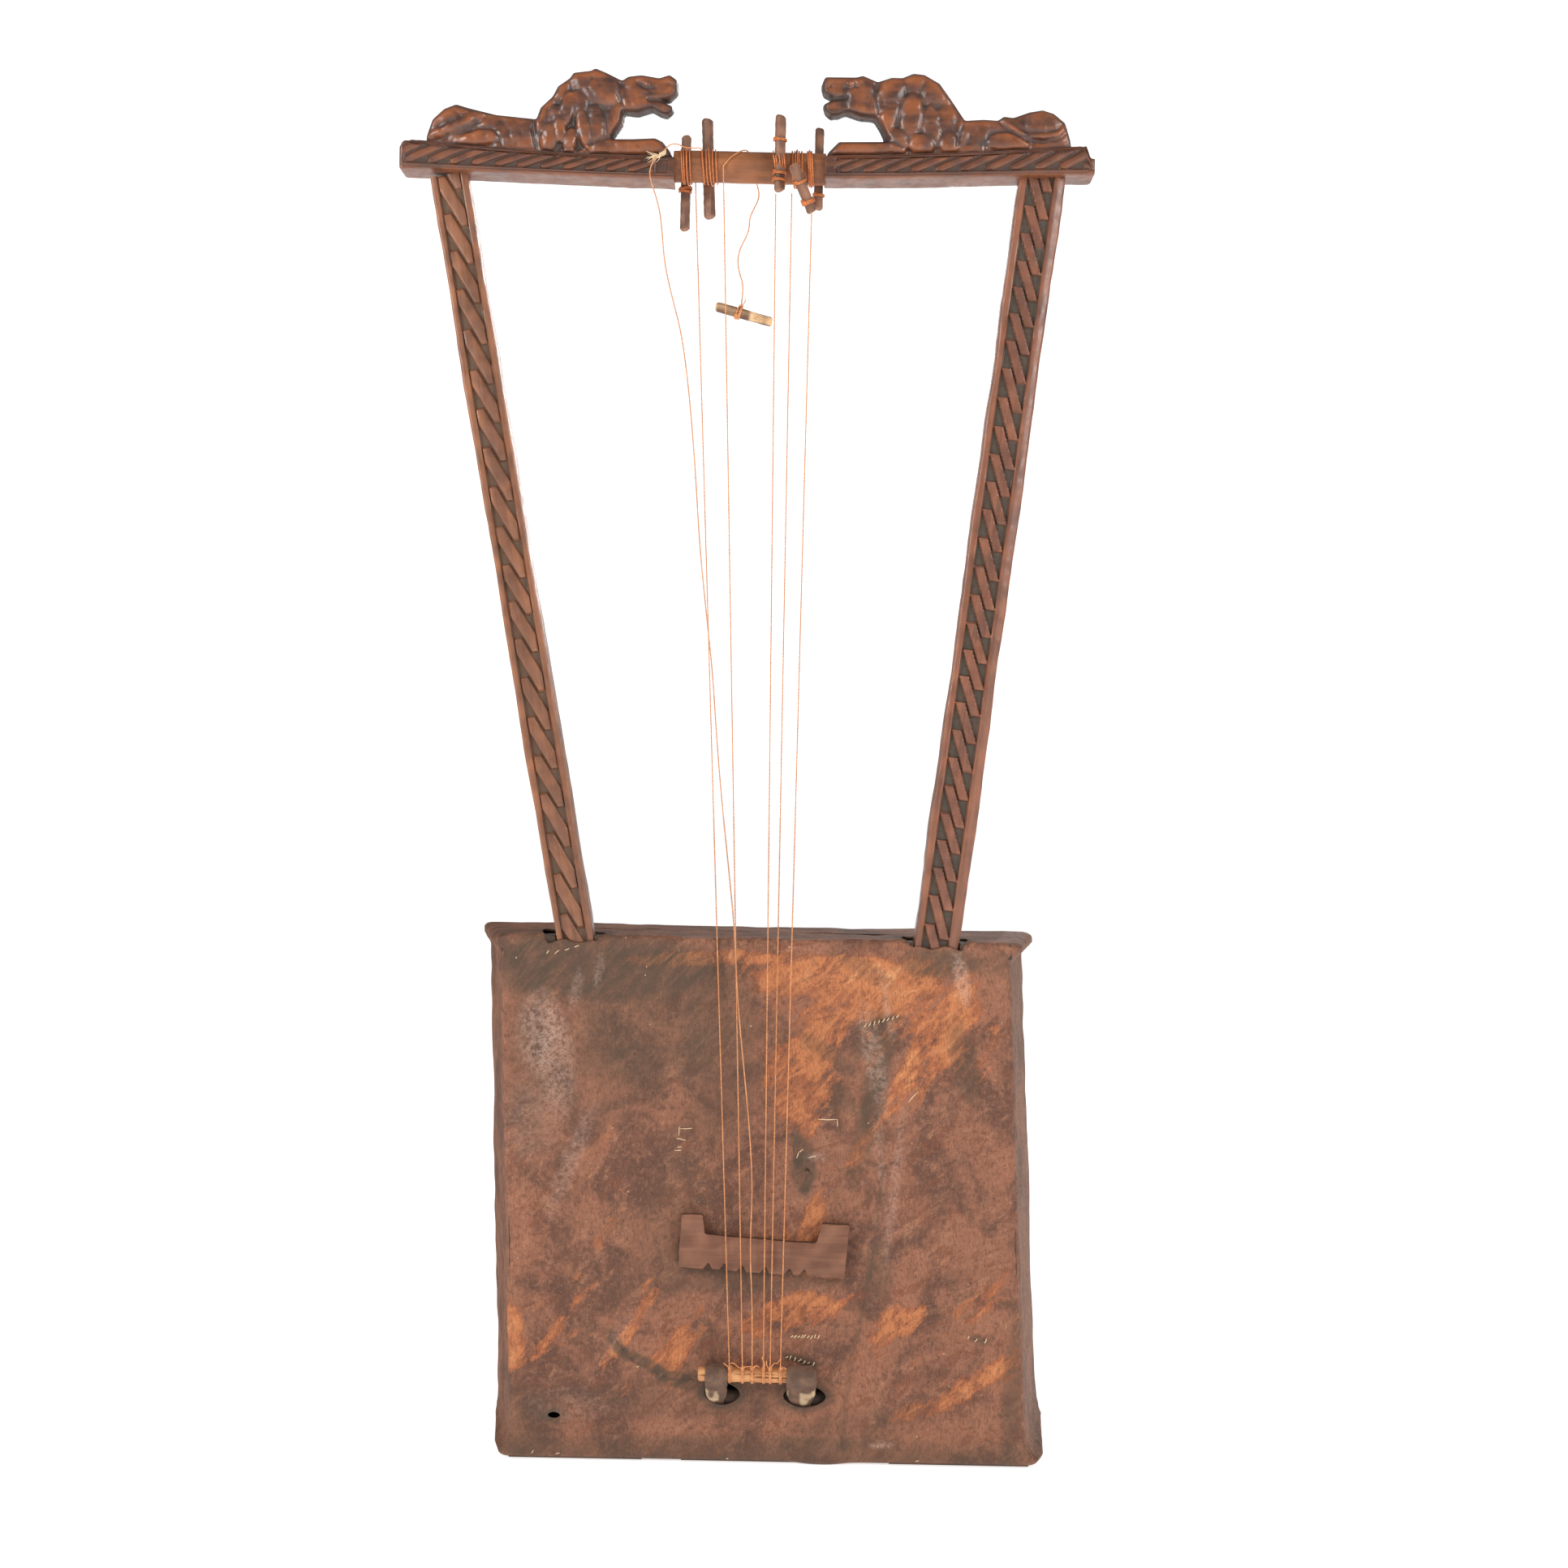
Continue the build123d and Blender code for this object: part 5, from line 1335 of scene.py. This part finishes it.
RIGHT_LOBES = [
    (198.6, 1060.4, 16.5, 12.0, -15, 12.2), (208.0, 1054.0, 11.5, 11.0, 0, 11.2),
    (172.0, 1055.0, 15.0, 10.0, 0, 10.6), (169.0, 1046.4, 16.5, 6.8, -3, 12.6),
    (146.6, 1053.4, 19.5, 11.0, 12, 11.4), (139.1, 1042.0, 14.0, 5.4, 0, 10.2),
    (96.2, 1091.0, 10.0, 8.6, 0, 11.8), (113.6, 1084.0, 12.8, 12.0, -24, 13.0),
    (77.8, 1083.6, 9.8, 11.4, -18, 13.0), (93.4, 1065.0, 8.8, 16.6, -4, 14.0),
    (75.4, 1064.6, 6.6, 15.2, -20, 12.6), (109.4, 1057.0, 7.4, 15.8, 5, 13.4),
    (83.2, 1044.6, 7.8, 9.2, 0, 13.6), (101.8, 1042.8, 9.2, 7.6, 0, 14.4),
    (121.6, 1060.6, 8.8, 15.6, 16, 12.4), (123.8, 1045.2, 8.0, 8.6, 0, 13.4),
    (65.6, 1073.0, 6.4, 11.2, -10, 11.6), (134.6, 1054.4, 7.2, 13.2, -22, 12.2),
    (54.0, 1078.4, 13.0, 15.0, 0, 11.4), (49.0, 1091.0, 6.6, 3.8, 10, 11.2),
    (54.8, 1071.0, 11.4, 8.0, 0, 11.2), (33.6, 1089.2, 10.6, 7.0, 0, 9.2), (27.6, 1090.6, 4.4, 5.0, 0, 9.4),
    (38.8, 1082.2, 8.4, 5.2, 0, 9.4), (33.0, 1070.0, 9.2, 5.6, 10, 8.2), (54.0, 1040.6, 26.5, 6.2, 0, 12.6),
    (38.6, 1039.6, 9.6, 5.6, 10, 12.9), (76.0, 1051.0, 7.0, 14.2, 20, 11.6),
]
RIGHT_LINES = [
    ([(163.0, 1067.0), (169.4, 1059.6), (176.1, 1055.0), (185.5, 1051.4), (198.0, 1050.6), (208.8, 1052.6),
      (215.6, 1058.9)], 1.5, 1.7),
    ([(168.1, 1058.4), (177.8, 1051.5), (190.3, 1044.5)], -1.4, 1.2),
    ([(151.5, 1039.6), (154.0, 1050.4), (160.6, 1054.0), (173.0, 1054.0)], -1.3, 0.9),
    ([(64.8, 1091.3), (64.6, 1080.4), (67.3, 1066.4)], -1.5, 1.4),
    ([(125.4, 1081.0), (135.6, 1063.6), (129.6, 1042.3)], -1.7, 1.4),
    ([(41.0, 1079.4), (33.7, 1078.2), (28.0, 1076.9)], -3.0, 1.5),
    ([(40.0, 1086.2), (46.5, 1089.6), (51.6, 1086.6)], -0.9, 0.8),
    ([(26.0, 1086.6), (30.0, 1088.2)], -1.2, 1.0),
    ([(73.0, 1046.6), (92.0, 1037.6), (104.0, 1035.4)], -1.6, 1.2),
]
lion("left_lion", LEFT_LION, LEFT_LOBES, LEFT_LINES, (-116.6, 1086.4), LEFT_TOP, 61)
lion("right_lion", RIGHT_LION, RIGHT_LOBES, RIGHT_LINES, (45.4, 1089.6), RIGHT_TOP, 67)


# ---- tuning sticks ---------------------------------------------------------------------------
def whittled(upper, lower, radius, seed, split=False):
    """Whittled stick with long flat cuts and ends that are cut by a few slanted strokes."""
    upper, lower = np.array(upper, float), np.array(lower, float)
    axis = upper - lower
    length = np.linalg.norm(axis)
    axis /= length
    chance = np.random.default_rng(seed)
    side = np.cross(axis, (0.2, 1.0, 0.1))
    side /= np.linalg.norm(side)
    other = np.cross(axis, side)
    count, corners = int(length / 0.9), 40
    along = np.concatenate([[0, 0.25, 0.7], np.linspace(1.3, length - 1.3, count),
                            [length - 0.7, length - 0.25, length]])
    angles = around(corners)
    cuts = chance.uniform(0, 2 * math.pi, 3)[None, :] + np.arange(3)[None, :] * 0.7
    reach = np.full((len(along), corners), 1.12)
    for index in range(8):
        middle = 2 * math.pi * index / 8 + chance.uniform(-0.15, 0.15)
        flat = chance.uniform(0.86, 0.97) + 0.02 * np.sin(along / length * 6 + cuts[0, index % 3])
        facing = np.cos(angles - middle)
        cap = np.where(facing[None, :] > 0.2, flat[:, None] / np.maximum(facing, 0.2)[None, :], 9.0)
        reach = np.minimum(reach, cap)
    ends = 1 - 0.30 * smoothstep(1.8, 0.0, np.minimum(along, length - along))[:, None] ** 1.5
    reach = reach * radius * ends
    slant = chance.uniform(-0.14, 0.14, 2)
    shift = (slant[0] * smoothstep(4, 0, along) + slant[1] * smoothstep(length - 4, length, along))[:, None] \
        * np.cos(angles)[None, :] * radius
    if split:
        torn_end = smoothstep(length * 0.42, length * 0.30, along)[:, None]
        torn = torn_end * smoothstep(-0.2, 0.6, np.sin(angles))[None, :]
        reach *= 1 - torn * (0.42 + 0.12 * np.sin(9 * angles)[None, :])
    points = (lower + (along[:, None] + shift)[..., None] * axis
              + reach[..., None] * (np.cos(angles)[None, :, None] * side + np.sin(angles)[None, :, None] * other))
    points = points.reshape(-1, 3)
    points += drift(points, 6.0, seed + 3)[:, None] * 0.10 * side
    at_end = smoothstep(1.6, 0.2, np.minimum(along, length - along))
    worn = 0.35 + 0.5 * drift(points, 12.0, seed + 4) + 0.8 * np.repeat(at_end, corners)
    if split:
        worn = worn + 1.5 * torn.ravel()
    return points, ring_faces(len(along), corners), np.clip(worn, 0, 1)


TURN_STEPS = 56
BAR_REACH = BAR_RADIUS + 0.3


def belt_loop(x_start, x_end, centre, radius, rounds, seed, lift):
    """Line of string wound round the bar and one stick, from one place along the bar to another."""
    turns = np.linspace(0, 2 * math.pi * rounds, int(TURN_STEPS * rounds) + 1)
    chance = np.random.default_rng(seed)
    heading = np.stack([np.cos(turns), np.sin(turns)], -1)
    circles = (((BAR_Y, BAR_Z), BAR_REACH), (centre, radius))
    reach = np.stack([heading @ np.array(place) + size for place, size in circles], -1)
    on_stick = reach[:, 1] > reach[:, 0]
    place = np.where(on_stick[:, None], np.array(centre), np.array((BAR_Y, BAR_Z)))
    size = np.where(on_stick, radius, BAR_REACH) + STRING_RADIUS + lift
    yz = place + heading * size[:, None]
    x = x_start + (x_end - x_start) * turns / turns[-1]
    x = x + 0.25 * np.sin(turns * 0.5 + chance.uniform(0, 6)) + chance.uniform(-0.6, 0.6) * np.sin(turns)
    return np.column_stack([x, yz])


def lashing(upper, lower, radius, share, tilt, seed, rounds, lift):
    """Turns of string round a stick alone."""
    upper, lower = np.array(upper, float), np.array(lower, float)
    axis = (upper - lower) / np.linalg.norm(upper - lower)
    side = np.cross(axis, (0.2, 1.0, 0.1))
    side /= np.linalg.norm(side)
    other = np.cross(axis, side)
    turns = np.linspace(0, 2 * math.pi * rounds, int(40 * rounds))
    phase = np.random.default_rng(seed).uniform(0, 6)
    reach = radius + STRING_RADIUS + lift
    middle = lower + (upper - lower) * share
    return (middle + reach * (np.cos(turns)[:, None] * side + np.sin(turns)[:, None] * other)
            + (tilt * np.sin(turns + phase) + 1.0 * turns / (2 * math.pi))[:, None] * axis)


STICKS = {
    # name: upper end, lower end, radius
    "1": ((-85.1, 26.0, 1054.8), (-85.1, 26.0, 979.2), 4.1),
    "2": ((-68.5, 26.4, 1068.7), (-65.2, 26.4, 989.4), 4.6),
    "3": ((-9.7, -9.0, 1060.8), (-9.7, -9.0, 1001.6), 4.4),
    "4": ((0.8, -26.0, 1017.7), (16.6, -12.0, 984.7), 4.4),
    "5": ((21.9, 25.9, 1062.8), (21.7, 25.9, 997.8), 3.8),
}
for name, (upper, lower, radius) in STICKS.items():
    points, faces, worn = whittled(upper, lower, radius, 70 + int(name))
    mesh_piece(f"whittled_stick_{name}", points, faces, f"tuner_{name}", "stick",
               [f"tuning_stick_{name}"], 50.0, {"worn": worn})

WINDINGS = {
    # name: (from, to, number of turns, lift) for each run of turns, then
    # (share up the stick, tilt, lift) for each lashing
    "1": ([(-87.6, -84.6, 2.0, 0.0), (-84.0, -79.6, 2.0, 0.1), (-86.2, -80.2, 1.0, 1.0)],
          [(0.40, 0.8, 0.2), (0.42, -1.0, 0.6)]),
    "2": ([(-71.6, -66.2, 2.0, 0.0), (-63.4, -58.9, 2.0, 0.0), (-70.0, -60.6, 1.0, 1.0)],
          [(0.36, 0.7, 0.2)]),
    "3": ([(-14.8, -11.6, 2.0, 0.0), (-8.4, -5.6, 2.0, 0.0), (-13.4, -6.6, 1.0, 1.0)],
          [(0.66, 0.5, 0.2), (0.22, 0.6, 0.2), (0.12, -0.5, 0.3)]),
    "4": ([(0.2, 3.6, 2.0, 0.0), (5.4, 9.0, 2.0, 0.0), (1.4, 7.6, 1.0, 1.0)],
          [(0.62, 0.5, 0.2), (0.22, 0.5, 0.2), (0.18, -0.3, 0.2)]),
    "5": ([(12.5, 16.6, 5.0, 0.0), (13.2, 16.0, 1.0, 1.0)],
          [(0.16, 0.4, 0.2)]),
}
for name, (runs, ties) in WINDINGS.items():
    upper, lower, radius = STICKS[name]
    share = (BAR_Z - lower[2]) / (upper[2] - lower[2])
    centre = (-8.5, 1009.0) if name == "4" else (lower[1] + share * (upper[1] - lower[1]), BAR_Z)
    parts = [tube(belt_loop(start, end, centre, radius, rounds, 80 + index, lift), STRING_RADIUS, 7)
             for index, (start, end, rounds, lift) in enumerate(runs)]
    parts += [tube(lashing(upper, lower, radius, place, tilt, 90 + index, 2.2, lift), STRING_RADIUS, 7)
              for index, (place, tilt, lift) in enumerate(ties)]
    points, faces = merge(parts)
    mesh_piece(f"string_turns_{name}", points, faces, f"tuner_{name}", "turns",
               [f"tuning_winding_{name}"], 60.0)

# The sixth stick hangs loose; one of its ends is split and pale.
LOOSE_STICK = ((-58.2, 5.0, 913.6), (-13.4, 5.0, 902.1), 4.3)
points, faces, worn = whittled(*LOOSE_STICK, 77, split=True)
mesh_piece("whittled_loose_stick", points, faces, "frame", "split_stick",
           ["loose_tuning_stick"], 50.0, {"worn": worn})
knot_turns = [tube(lashing(*LOOSE_STICK, 0.55, 0.5, 91, 2.2, 0.1), STRING_RADIUS, 7),
              tube(lashing(*LOOSE_STICK, 0.60, -0.9, 92, 1.2, 0.3), STRING_RADIUS, 7)]
spin = np.linspace(0, 4 * math.pi, 60)
knot_turns.append(tube(np.column_stack([-38.0 + 1.1 * np.cos(spin), 5.0 + 1.1 * np.sin(spin),
                                        914.2 + 0.9 * np.sin(1.5 * spin)]), STRING_RADIUS, 7))
knot_turns.append(tube(smooth_path([(-38.0, 4.4, 914.0), (-35.4, 3.4, 917.0), (-34.4, 3.0, 919.6)]), 0.4, 6))
points, faces = merge(knot_turns)
mesh_piece("loose_stick_tie", points, faces, "frame", "gut", ["loose_stick_knot"], 60.0)

# ---- strings ---------------------------------------------------------------------------------
TAIL_POINT = (-13.2, 79.0)
TAUT = {
    # name: places from where the string leaves its turns down to its last bend, and its X at the tail
    "1": ([(-77.3, 21.6, 1024.0)], -30.9),
    "2": ([(-31.5, 19.0, 1030.6), (-33.8, 12.6, 1037.0), (-37.0, 5.2, 1037.7), (-42.2, -1.6, 1034.0),
           (-48.6, -4.6, 1028.6), (-54.0, -4.9, 1022.0)], -20.7),
    "3": ([(-12.4, -5.0, 1000.6)], -4.4),
    "4": ([(0.2, 20.9, 1009.0)], 0.9),
    "5": ([(16.0, -17.4, 983.0)], 8.9),
}
for name, (start, tail_x) in TAUT.items():
    end = np.array((tail_x, *TAIL_POINT))
    top = np.array(start[-1], float)
    straight = top + (end - top) * np.linspace(0, 1, 1500)[:, None]
    path = straight if len(start) == 1 else np.vstack([smooth_path(start, 0.5)[:-1], straight])
    points, faces = twisted(path, 5.6)
    mesh_piece(f"gut_string_{name}", points, faces, "frame", "gut", [f"string_{name}"], 70.0)

# Frayed end of the slack string on the left block, and the strand that links it to the sticks.
chance = np.random.default_rng(5)
root = np.array((-105.0, -8.6, 1027.6))
fibres = []
for index in range(26):
    reach = chance.uniform(4.5, 10.0)
    heading = np.array((-1.0, -0.1, -0.35)) + chance.normal(0, 0.28, 3) * (1, 0.3, 1)
    heading /= np.linalg.norm(heading)
    start = root + chance.normal(0, 0.5, 3) * (1.6, 0.4, 0.8)
    middle = start + heading * reach * 0.5 + chance.normal(0, 0.4, 3) * (1, 0.4, 1)
    end = start + heading * reach + chance.normal(0, 0.9, 3) * (1, 0.4, 1)
    path = smooth_path([start, middle, end], 0.7)
    path[:, 1] = np.minimum(path[:, 1], -7.4)
    fibres.append(tube(path, np.linspace(0.34, 0.08, len(path)), 5))
for index in range(5):
    spin = around(20)
    wrap = np.column_stack([root[0] + 1.0 + index * 1.1 + 0.3 * np.sin(spin),
                            root[1] - 0.2 + 1.3 * np.cos(spin),
                            root[2] + 0.5 + index * 0.55 + 1.7 * np.sin(spin)])
    fibres.append(tube(wrap, 0.55, 6, closed=True))
points, faces = merge(fibres)
mesh_piece("frayed_string_end", points, faces, "frame", "fibre", ["frayed_knot"], 70.0)
LINK_ROUTE = [
    (-103.6, -9.2, 1029.2), (-101.6, -9.0, 1030.6), (-96.4, -8.4, 1036.2), (-91.0, -6.6, 1037.8),
    (-84.6, -5.6, 1035.8), (-77.8, -5.6, 1035.2), (-73.6, -5.6, 1035.4), (-70.6, -5.4, 1034.0),
]
points, faces = twisted(smooth_path(LINK_ROUTE, 0.5), 5.0)
mesh_piece("linking_strand", points, faces, "frame", "gut", ["link_string"], 70.0)


# ---- tail stick, straps and knots ------------------------------------------------------------
TAIL_Y, TAIL_Z, TAIL_RADIUS = -7.5, 73.0, 5.75
CROSSBAR = ((13.0, 49.0), 7.0)
tail_x = np.concatenate([[-55.6, -55.4, -54.9, -54.2], np.arange(-53.2, 33.6, 0.8), [34.6, 35.3, 35.8, 36.0]])
tail_angles = around(64)
grid_x, grid_angle = np.meshgrid(tail_x, tail_angles, indexing="ij")
tail_reach = np.full(grid_x.shape, TAIL_RADIUS) * 0.97
flat = np.stack([grid_x.ravel() * 0.25, 6 * np.cos(grid_angle).ravel(), 6 * np.sin(grid_angle).ravel()], -1)
tail_reach += (0.22 * drift(flat, 5.0, 51) + 0.10 * drift(flat, 1.8, 52)).reshape(grid_x.shape)
splits = np.zeros(grid_x.shape)
for angle, left, right, depth in ((3.25, -14.0, 37.0, 1.3), (2.75, -30.0, 8.0, 0.7), (3.7, 4.0, 37.0, 0.8),
                                  (3.0, -57.0, -44.0, 1.0), (0.4, -40.0, 20.0, 0.8)):
    gone = np.abs((grid_angle - angle - 0.05 * np.sin(grid_x / 5.0) + math.pi) % (2 * math.pi) - math.pi)
    live = smoothstep(left, left + 6, grid_x) * smoothstep(right, right - 6, grid_x)
    splits = np.maximum(splits, depth * live * np.exp(-(gone / 0.085) ** 2))
tail_reach -= splits
tail_reach *= 1 - 0.22 * smoothstep(1.4, 0.0, np.minimum(grid_x + 55.6, 36.0 - grid_x))
points = np.stack([grid_x, TAIL_Y + np.cos(grid_angle) * tail_reach,
                   TAIL_Z + np.sin(grid_angle) * tail_reach], -1).reshape(-1, 3)
mesh_piece("split_tail_stick", points, ring_faces(len(tail_x), len(tail_angles)), "frame", "tail",
           ["tail_stick"], 50.0, {"deep": np.clip(splits.ravel() * 1.1, 0, 1),
                                  "worn": np.clip(0.4 + 0.5 * drift(points, 15.0, 53), 0, 1)})


def strap(name, left, right, seed, bare):
    """Leather belt round the tail stick and the crossbar, narrower where it enters the hide."""
    turns = around(180)
    heading = np.stack([np.cos(turns), np.sin(turns)], -1)
    circles = (((TAIL_Y, TAIL_Z), TAIL_RADIUS + 0.15), CROSSBAR)
    reach = np.stack([heading @ np.array(place) + size for place, size in circles], -1)
    weight = smoothstep(-1.2, 1.2, reach[:, 1] - reach[:, 0])[:, None]
    centre = np.array(circles[0][0]) * (1 - weight) + np.array(circles[1][0]) * weight
    size = circles[0][1] * (1 - weight) + circles[1][1] * weight
    inner = centre + heading * size
    # More points on the two straight runs, where the heading hardly turns.
    steps = np.diff(np.vstack([inner, inner[:1]]), axis=0)
    run = np.concatenate([[0], np.cumsum(np.linalg.norm(steps, axis=1))])
    even = np.linspace(0, run[-1], 150, endpoint=False)
    inner, facing = (np.stack([np.interp(even, run, np.append(ring[:, axis], ring[0, axis])) for axis in (0, 1)], -1)
                     for ring in (inner, heading))
    facing /= np.linalg.norm(facing, axis=1, keepdims=True)
    middle, half = (left + right) / 2, (right - left) / 2
    down = smoothstep(TAIL_Z - 2, TAIL_Z - 16, inner[:, 1])
    ragged = 0.5 * np.sin(even / 3.1 + seed) + 0.3 * np.sin(even / 1.3 + 2 * seed)
    across = np.concatenate([np.linspace(-1, 1, 13), np.linspace(1, -1, 13)])
    outer = np.concatenate([np.ones(13), np.zeros(13)])
    turn_in = smoothstep(TAIL_Z - 15, TAIL_Z - 27, inner[:, 1])
    width = (half * (1 - 0.04 * down - 0.28 * turn_in) + 0.4 * ragged)[:, None]
    x = middle + across[None, :] * width
    curl = -1.1 * np.abs(across[None, :]) ** 3 * smoothstep(0.4, 1.0, down)[:, None]
    thick = 1.7 * (1 - 0.45 * np.abs(across) ** 8)
    offset = 0.1 + outer[None, :] * thick[None, :] + curl
    offset = offset + 0.14 * np.sin(x * 1.1 + seed) + 0.12 * np.sin(even / 2.2)[:, None]
    y = inner[:, :1] + facing[:, :1] * offset
    z = inner[:, 1:] + facing[:, 1:] * offset
    points = np.stack([x, y, z], -1).reshape(-1, 3)
    count, corners = x.shape
    index = np.arange(count * corners).reshape(count, corners)
    beside = np.roll(index, -1, 1)
    quads = np.stack([index, beside, np.roll(beside, -1, 0), np.roll(index, -1, 0)], -1)
    low = smoothstep(TAIL_Z - 7.0, TAIL_Z - 15.0, points[:, 2])
    off_bare = np.abs((points[:, 0] - middle - bare * half) / half)
    rawhide = low * off_bare + 0.55 * drift(points * (1.0, 0.6, 0.5), 9.0, seed + 9) * low
    pale = smoothstep(0.55, 0.75, rawhide)
    mesh_piece(f"leather_{name}", points, quads.reshape(-1, 4).tolist(), "frame", "strap",
               [name], 60.0, {"worn": np.clip(pale, 0, 1)})


strap("left_tail_strap", -49.9, -32.4, 3, 0.5)
strap("right_tail_strap", 13.8, 37.4, 8, -0.35)

tail_parts = []
for tail_at in [end for _, end in TAUT.values()] + [-13.2]:
    spin = np.linspace(0, 4.4 * math.pi, 110)
    reach = TAIL_RADIUS + STRING_RADIUS + 0.05
    coil = np.column_stack([tail_at - 0.9 + 0.55 * spin / math.pi * 0.9, TAIL_Y + reach * np.cos(spin),
                            TAIL_Z + reach * np.sin(spin)])
    tail_parts.append(tube(coil, STRING_RADIUS, 7))
    for shift in (0.0, 0.9):
        spin = around(22)
        knot = np.column_stack([tail_at + 1.0 * np.cos(spin), -13.1 + 0.5 * np.sin(spin),
                                79.2 + shift + 0.9 * np.sin(spin + shift)])
        tail_parts.append(tube(knot, 0.45, 6, closed=True))
LOOSE_ENDS = [
    [(-30.6, -13.4, 79.6), (-33.0, -13.8, 81.6), (-35.6, -13.6, 83.6)],
    [(-20.4, -13.4, 79.6), (-24.0, -14.0, 80.8), (-28.0, -13.8, 83.8), (-31.6, -13.4, 82.8)],
    [(-20.4, -13.4, 80.0), (-16.0, -14.2, 81.6), (-12.0, -14.0, 80.6), (-9.4, -13.6, 82.6)],
    [(-4.0, -13.4, 79.6), (-3.4, -14.2, 84.0), (-5.4, -14.2, 88.0), (-4.0, -13.8, 91.0)],
    [(1.0, -13.4, 79.8), (3.6, -14.2, 83.8), (6.6, -14.0, 84.6), (8.6, -13.6, 87.6)],
    [(1.0, -13.4, 79.4), (-1.6, -14.0, 82.0), (-2.0, -14.0, 86.0)],
    [(9.0, -13.4, 79.6), (11.6, -13.9, 81.0), (13.6, -13.6, 79.6)],
    [(-13.0, -13.4, 79.6), (-10.4, -14.2, 82.0), (-7.4, -14.0, 81.0)],
]
tail_parts += [tube(smooth_path(line, 0.6), 0.42, 6) for line in LOOSE_ENDS]
points, faces = merge(tail_parts)
mesh_piece("tail_string_knots", points, faces, "frame", "gut", ["tail_knots"], 60.0)

# ---- bridge ----------------------------------------------------------------------------------
BRIDGE_MIDDLE, BRIDGE_TURN = (-7.3, 153.0), math.radians(-3.2)
BRIDGE_HALF = 65.2
BRIDGE_THICKNESS = 7.0
NOTCHES = (-42.5, -29.4, -15.5, 2.7, 21.5, 33.0)
LONGEST_EDGE = 2.6
lower_edge = [(-BRIDGE_HALF, 0.0)]
for place in NOTCHES:
    lower_edge += [(place - 3.9, 0.0), (place - 0.5, 4.9), (place + 0.4, 5.0), (place + 3.7, 0.0)]
lower_edge += [(BRIDGE_HALF, 0.0)]
upper_edge = [
    (66.0, 41.7), (64.0, 42.0), (45.0, 41.4), (44.4, 40.0), (41.2, 26.6), (38.6, 25.6), (-44.6, 26.4),
    (-47.0, 27.4), (-49.2, 40.6), (-50.4, 41.8), (-64.2, 41.4), (-65.6, 40.6),
]
work = bmesh.new()
face = work.faces.new([work.verts.new((x, 0.0, z)) for x, z in lower_edge + upper_edge])
pushed = bmesh.ops.extrude_face_region(work, geom=[face])
pushed_verts = [part for part in pushed["geom"] if isinstance(part, bmesh.types.BMVert)]
bmesh.ops.translate(work, verts=pushed_verts, vec=(0, -BRIDGE_THICKNESS, 0))
bmesh.ops.recalc_face_normals(work, faces=work.faces)
sharp_edges = [edge for edge in work.edges if edge.calc_face_angle(0) > 0.5]
bmesh.ops.bevel(work, geom=sharp_edges, offset=0.45, segments=2, affect="EDGES", profile=0.5, clamp_overlap=True)
bmesh.ops.triangulate(work, faces=work.faces, quad_method="BEAUTY", ngon_method="BEAUTY")
for _ in range(7):
    long_edges = [edge for edge in work.edges if edge.calc_length() > LONGEST_EDGE]
    if not long_edges:
        break
    bmesh.ops.subdivide_edges(work, edges=long_edges, cuts=1)
    bmesh.ops.triangulate(work, faces=work.faces, quad_method="BEAUTY", ngon_method="BEAUTY")
work.verts.index_update()
points = np.array([vert.co for vert in work.verts])
faces = [[vert.index for vert in face.verts] for face in work.faces]
work.free()
local = points.copy()
points += np.stack([drift(local, 30.0, 55), drift(local, 25.0, 56) * 0.6, drift(local, 30.0, 57)], -1) * 0.35
points += np.stack([drift(local, 8.0, 58), 0 * local[:, 0], drift(local, 8.0, 59)], -1) * 0.15
turned = points.copy()
turned[:, 0] = BRIDGE_MIDDLE[0] + points[:, 0] * math.cos(BRIDGE_TURN) - points[:, 2] * math.sin(BRIDGE_TURN)
turned[:, 2] = BRIDGE_MIDDLE[1] + points[:, 0] * math.sin(BRIDGE_TURN) + points[:, 2] * math.cos(BRIDGE_TURN)
turned[:, 1] += -0.4
worn = np.clip(0.1 + 0.3 * drift(local, 18.0, 60), 0, 1)
worn = np.maximum(worn, 0.9 * ((local[:, 1] > -6.9) & (local[:, 1] < -6.2)))
# Painted shade: the sides are darker towards the skin, where the bridge lies on it.
mesh_piece("worn_bridge", turned, faces, "bridge_piece", "bridge", ["bridge"], 30.0,
           {"worn": worn, "deep": smoothstep(-6.4, -3.5, local[:, 1])})

# ---- back seam -------------------------------------------------------------------------------
STITCHES = 12
THONG_SIDES = 12
thong_angles = around(THONG_SIDES)
thong_oval = 1.0 / np.sqrt((np.cos(thong_angles) / 0.75) ** 2 + (np.sin(thong_angles) / 1.9) ** 2)
stitches = []
for index in range(STITCHES):
    height = 30.0 + index * (BOX_HEIGHT - 60.0) / (STITCHES - 1)
    tilt = 0.35 + 0.12 * math.sin(index * 2.4)
    # X, how far it stands out from the back, and how far it is tilted up.
    places = ((-20.5, -1.0, 8), (-17.0, 1.0, 6), (-9.0, 2.0, 0), (-1.0, 1.4, -6), (2.5, -1.0, -8))
    line = smooth_path([(x, BOX_DEPTH + out, height + up * tilt) for x, out, up in places])
    stitches.append(tube(line, np.broadcast_to(thong_oval, (len(line), THONG_SIDES)), THONG_SIDES))
points, faces = merge(stitches)
mesh_piece("back_thong_stitches", points, faces, "frame", "thong", ["back_seam_thong"], 60.0)

for name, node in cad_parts.items():
    if not node.hide_render and not node.data.materials[:1] == [None]:
        node.data.materials.clear()
        node.data.materials.append(MATERIALS["board"])
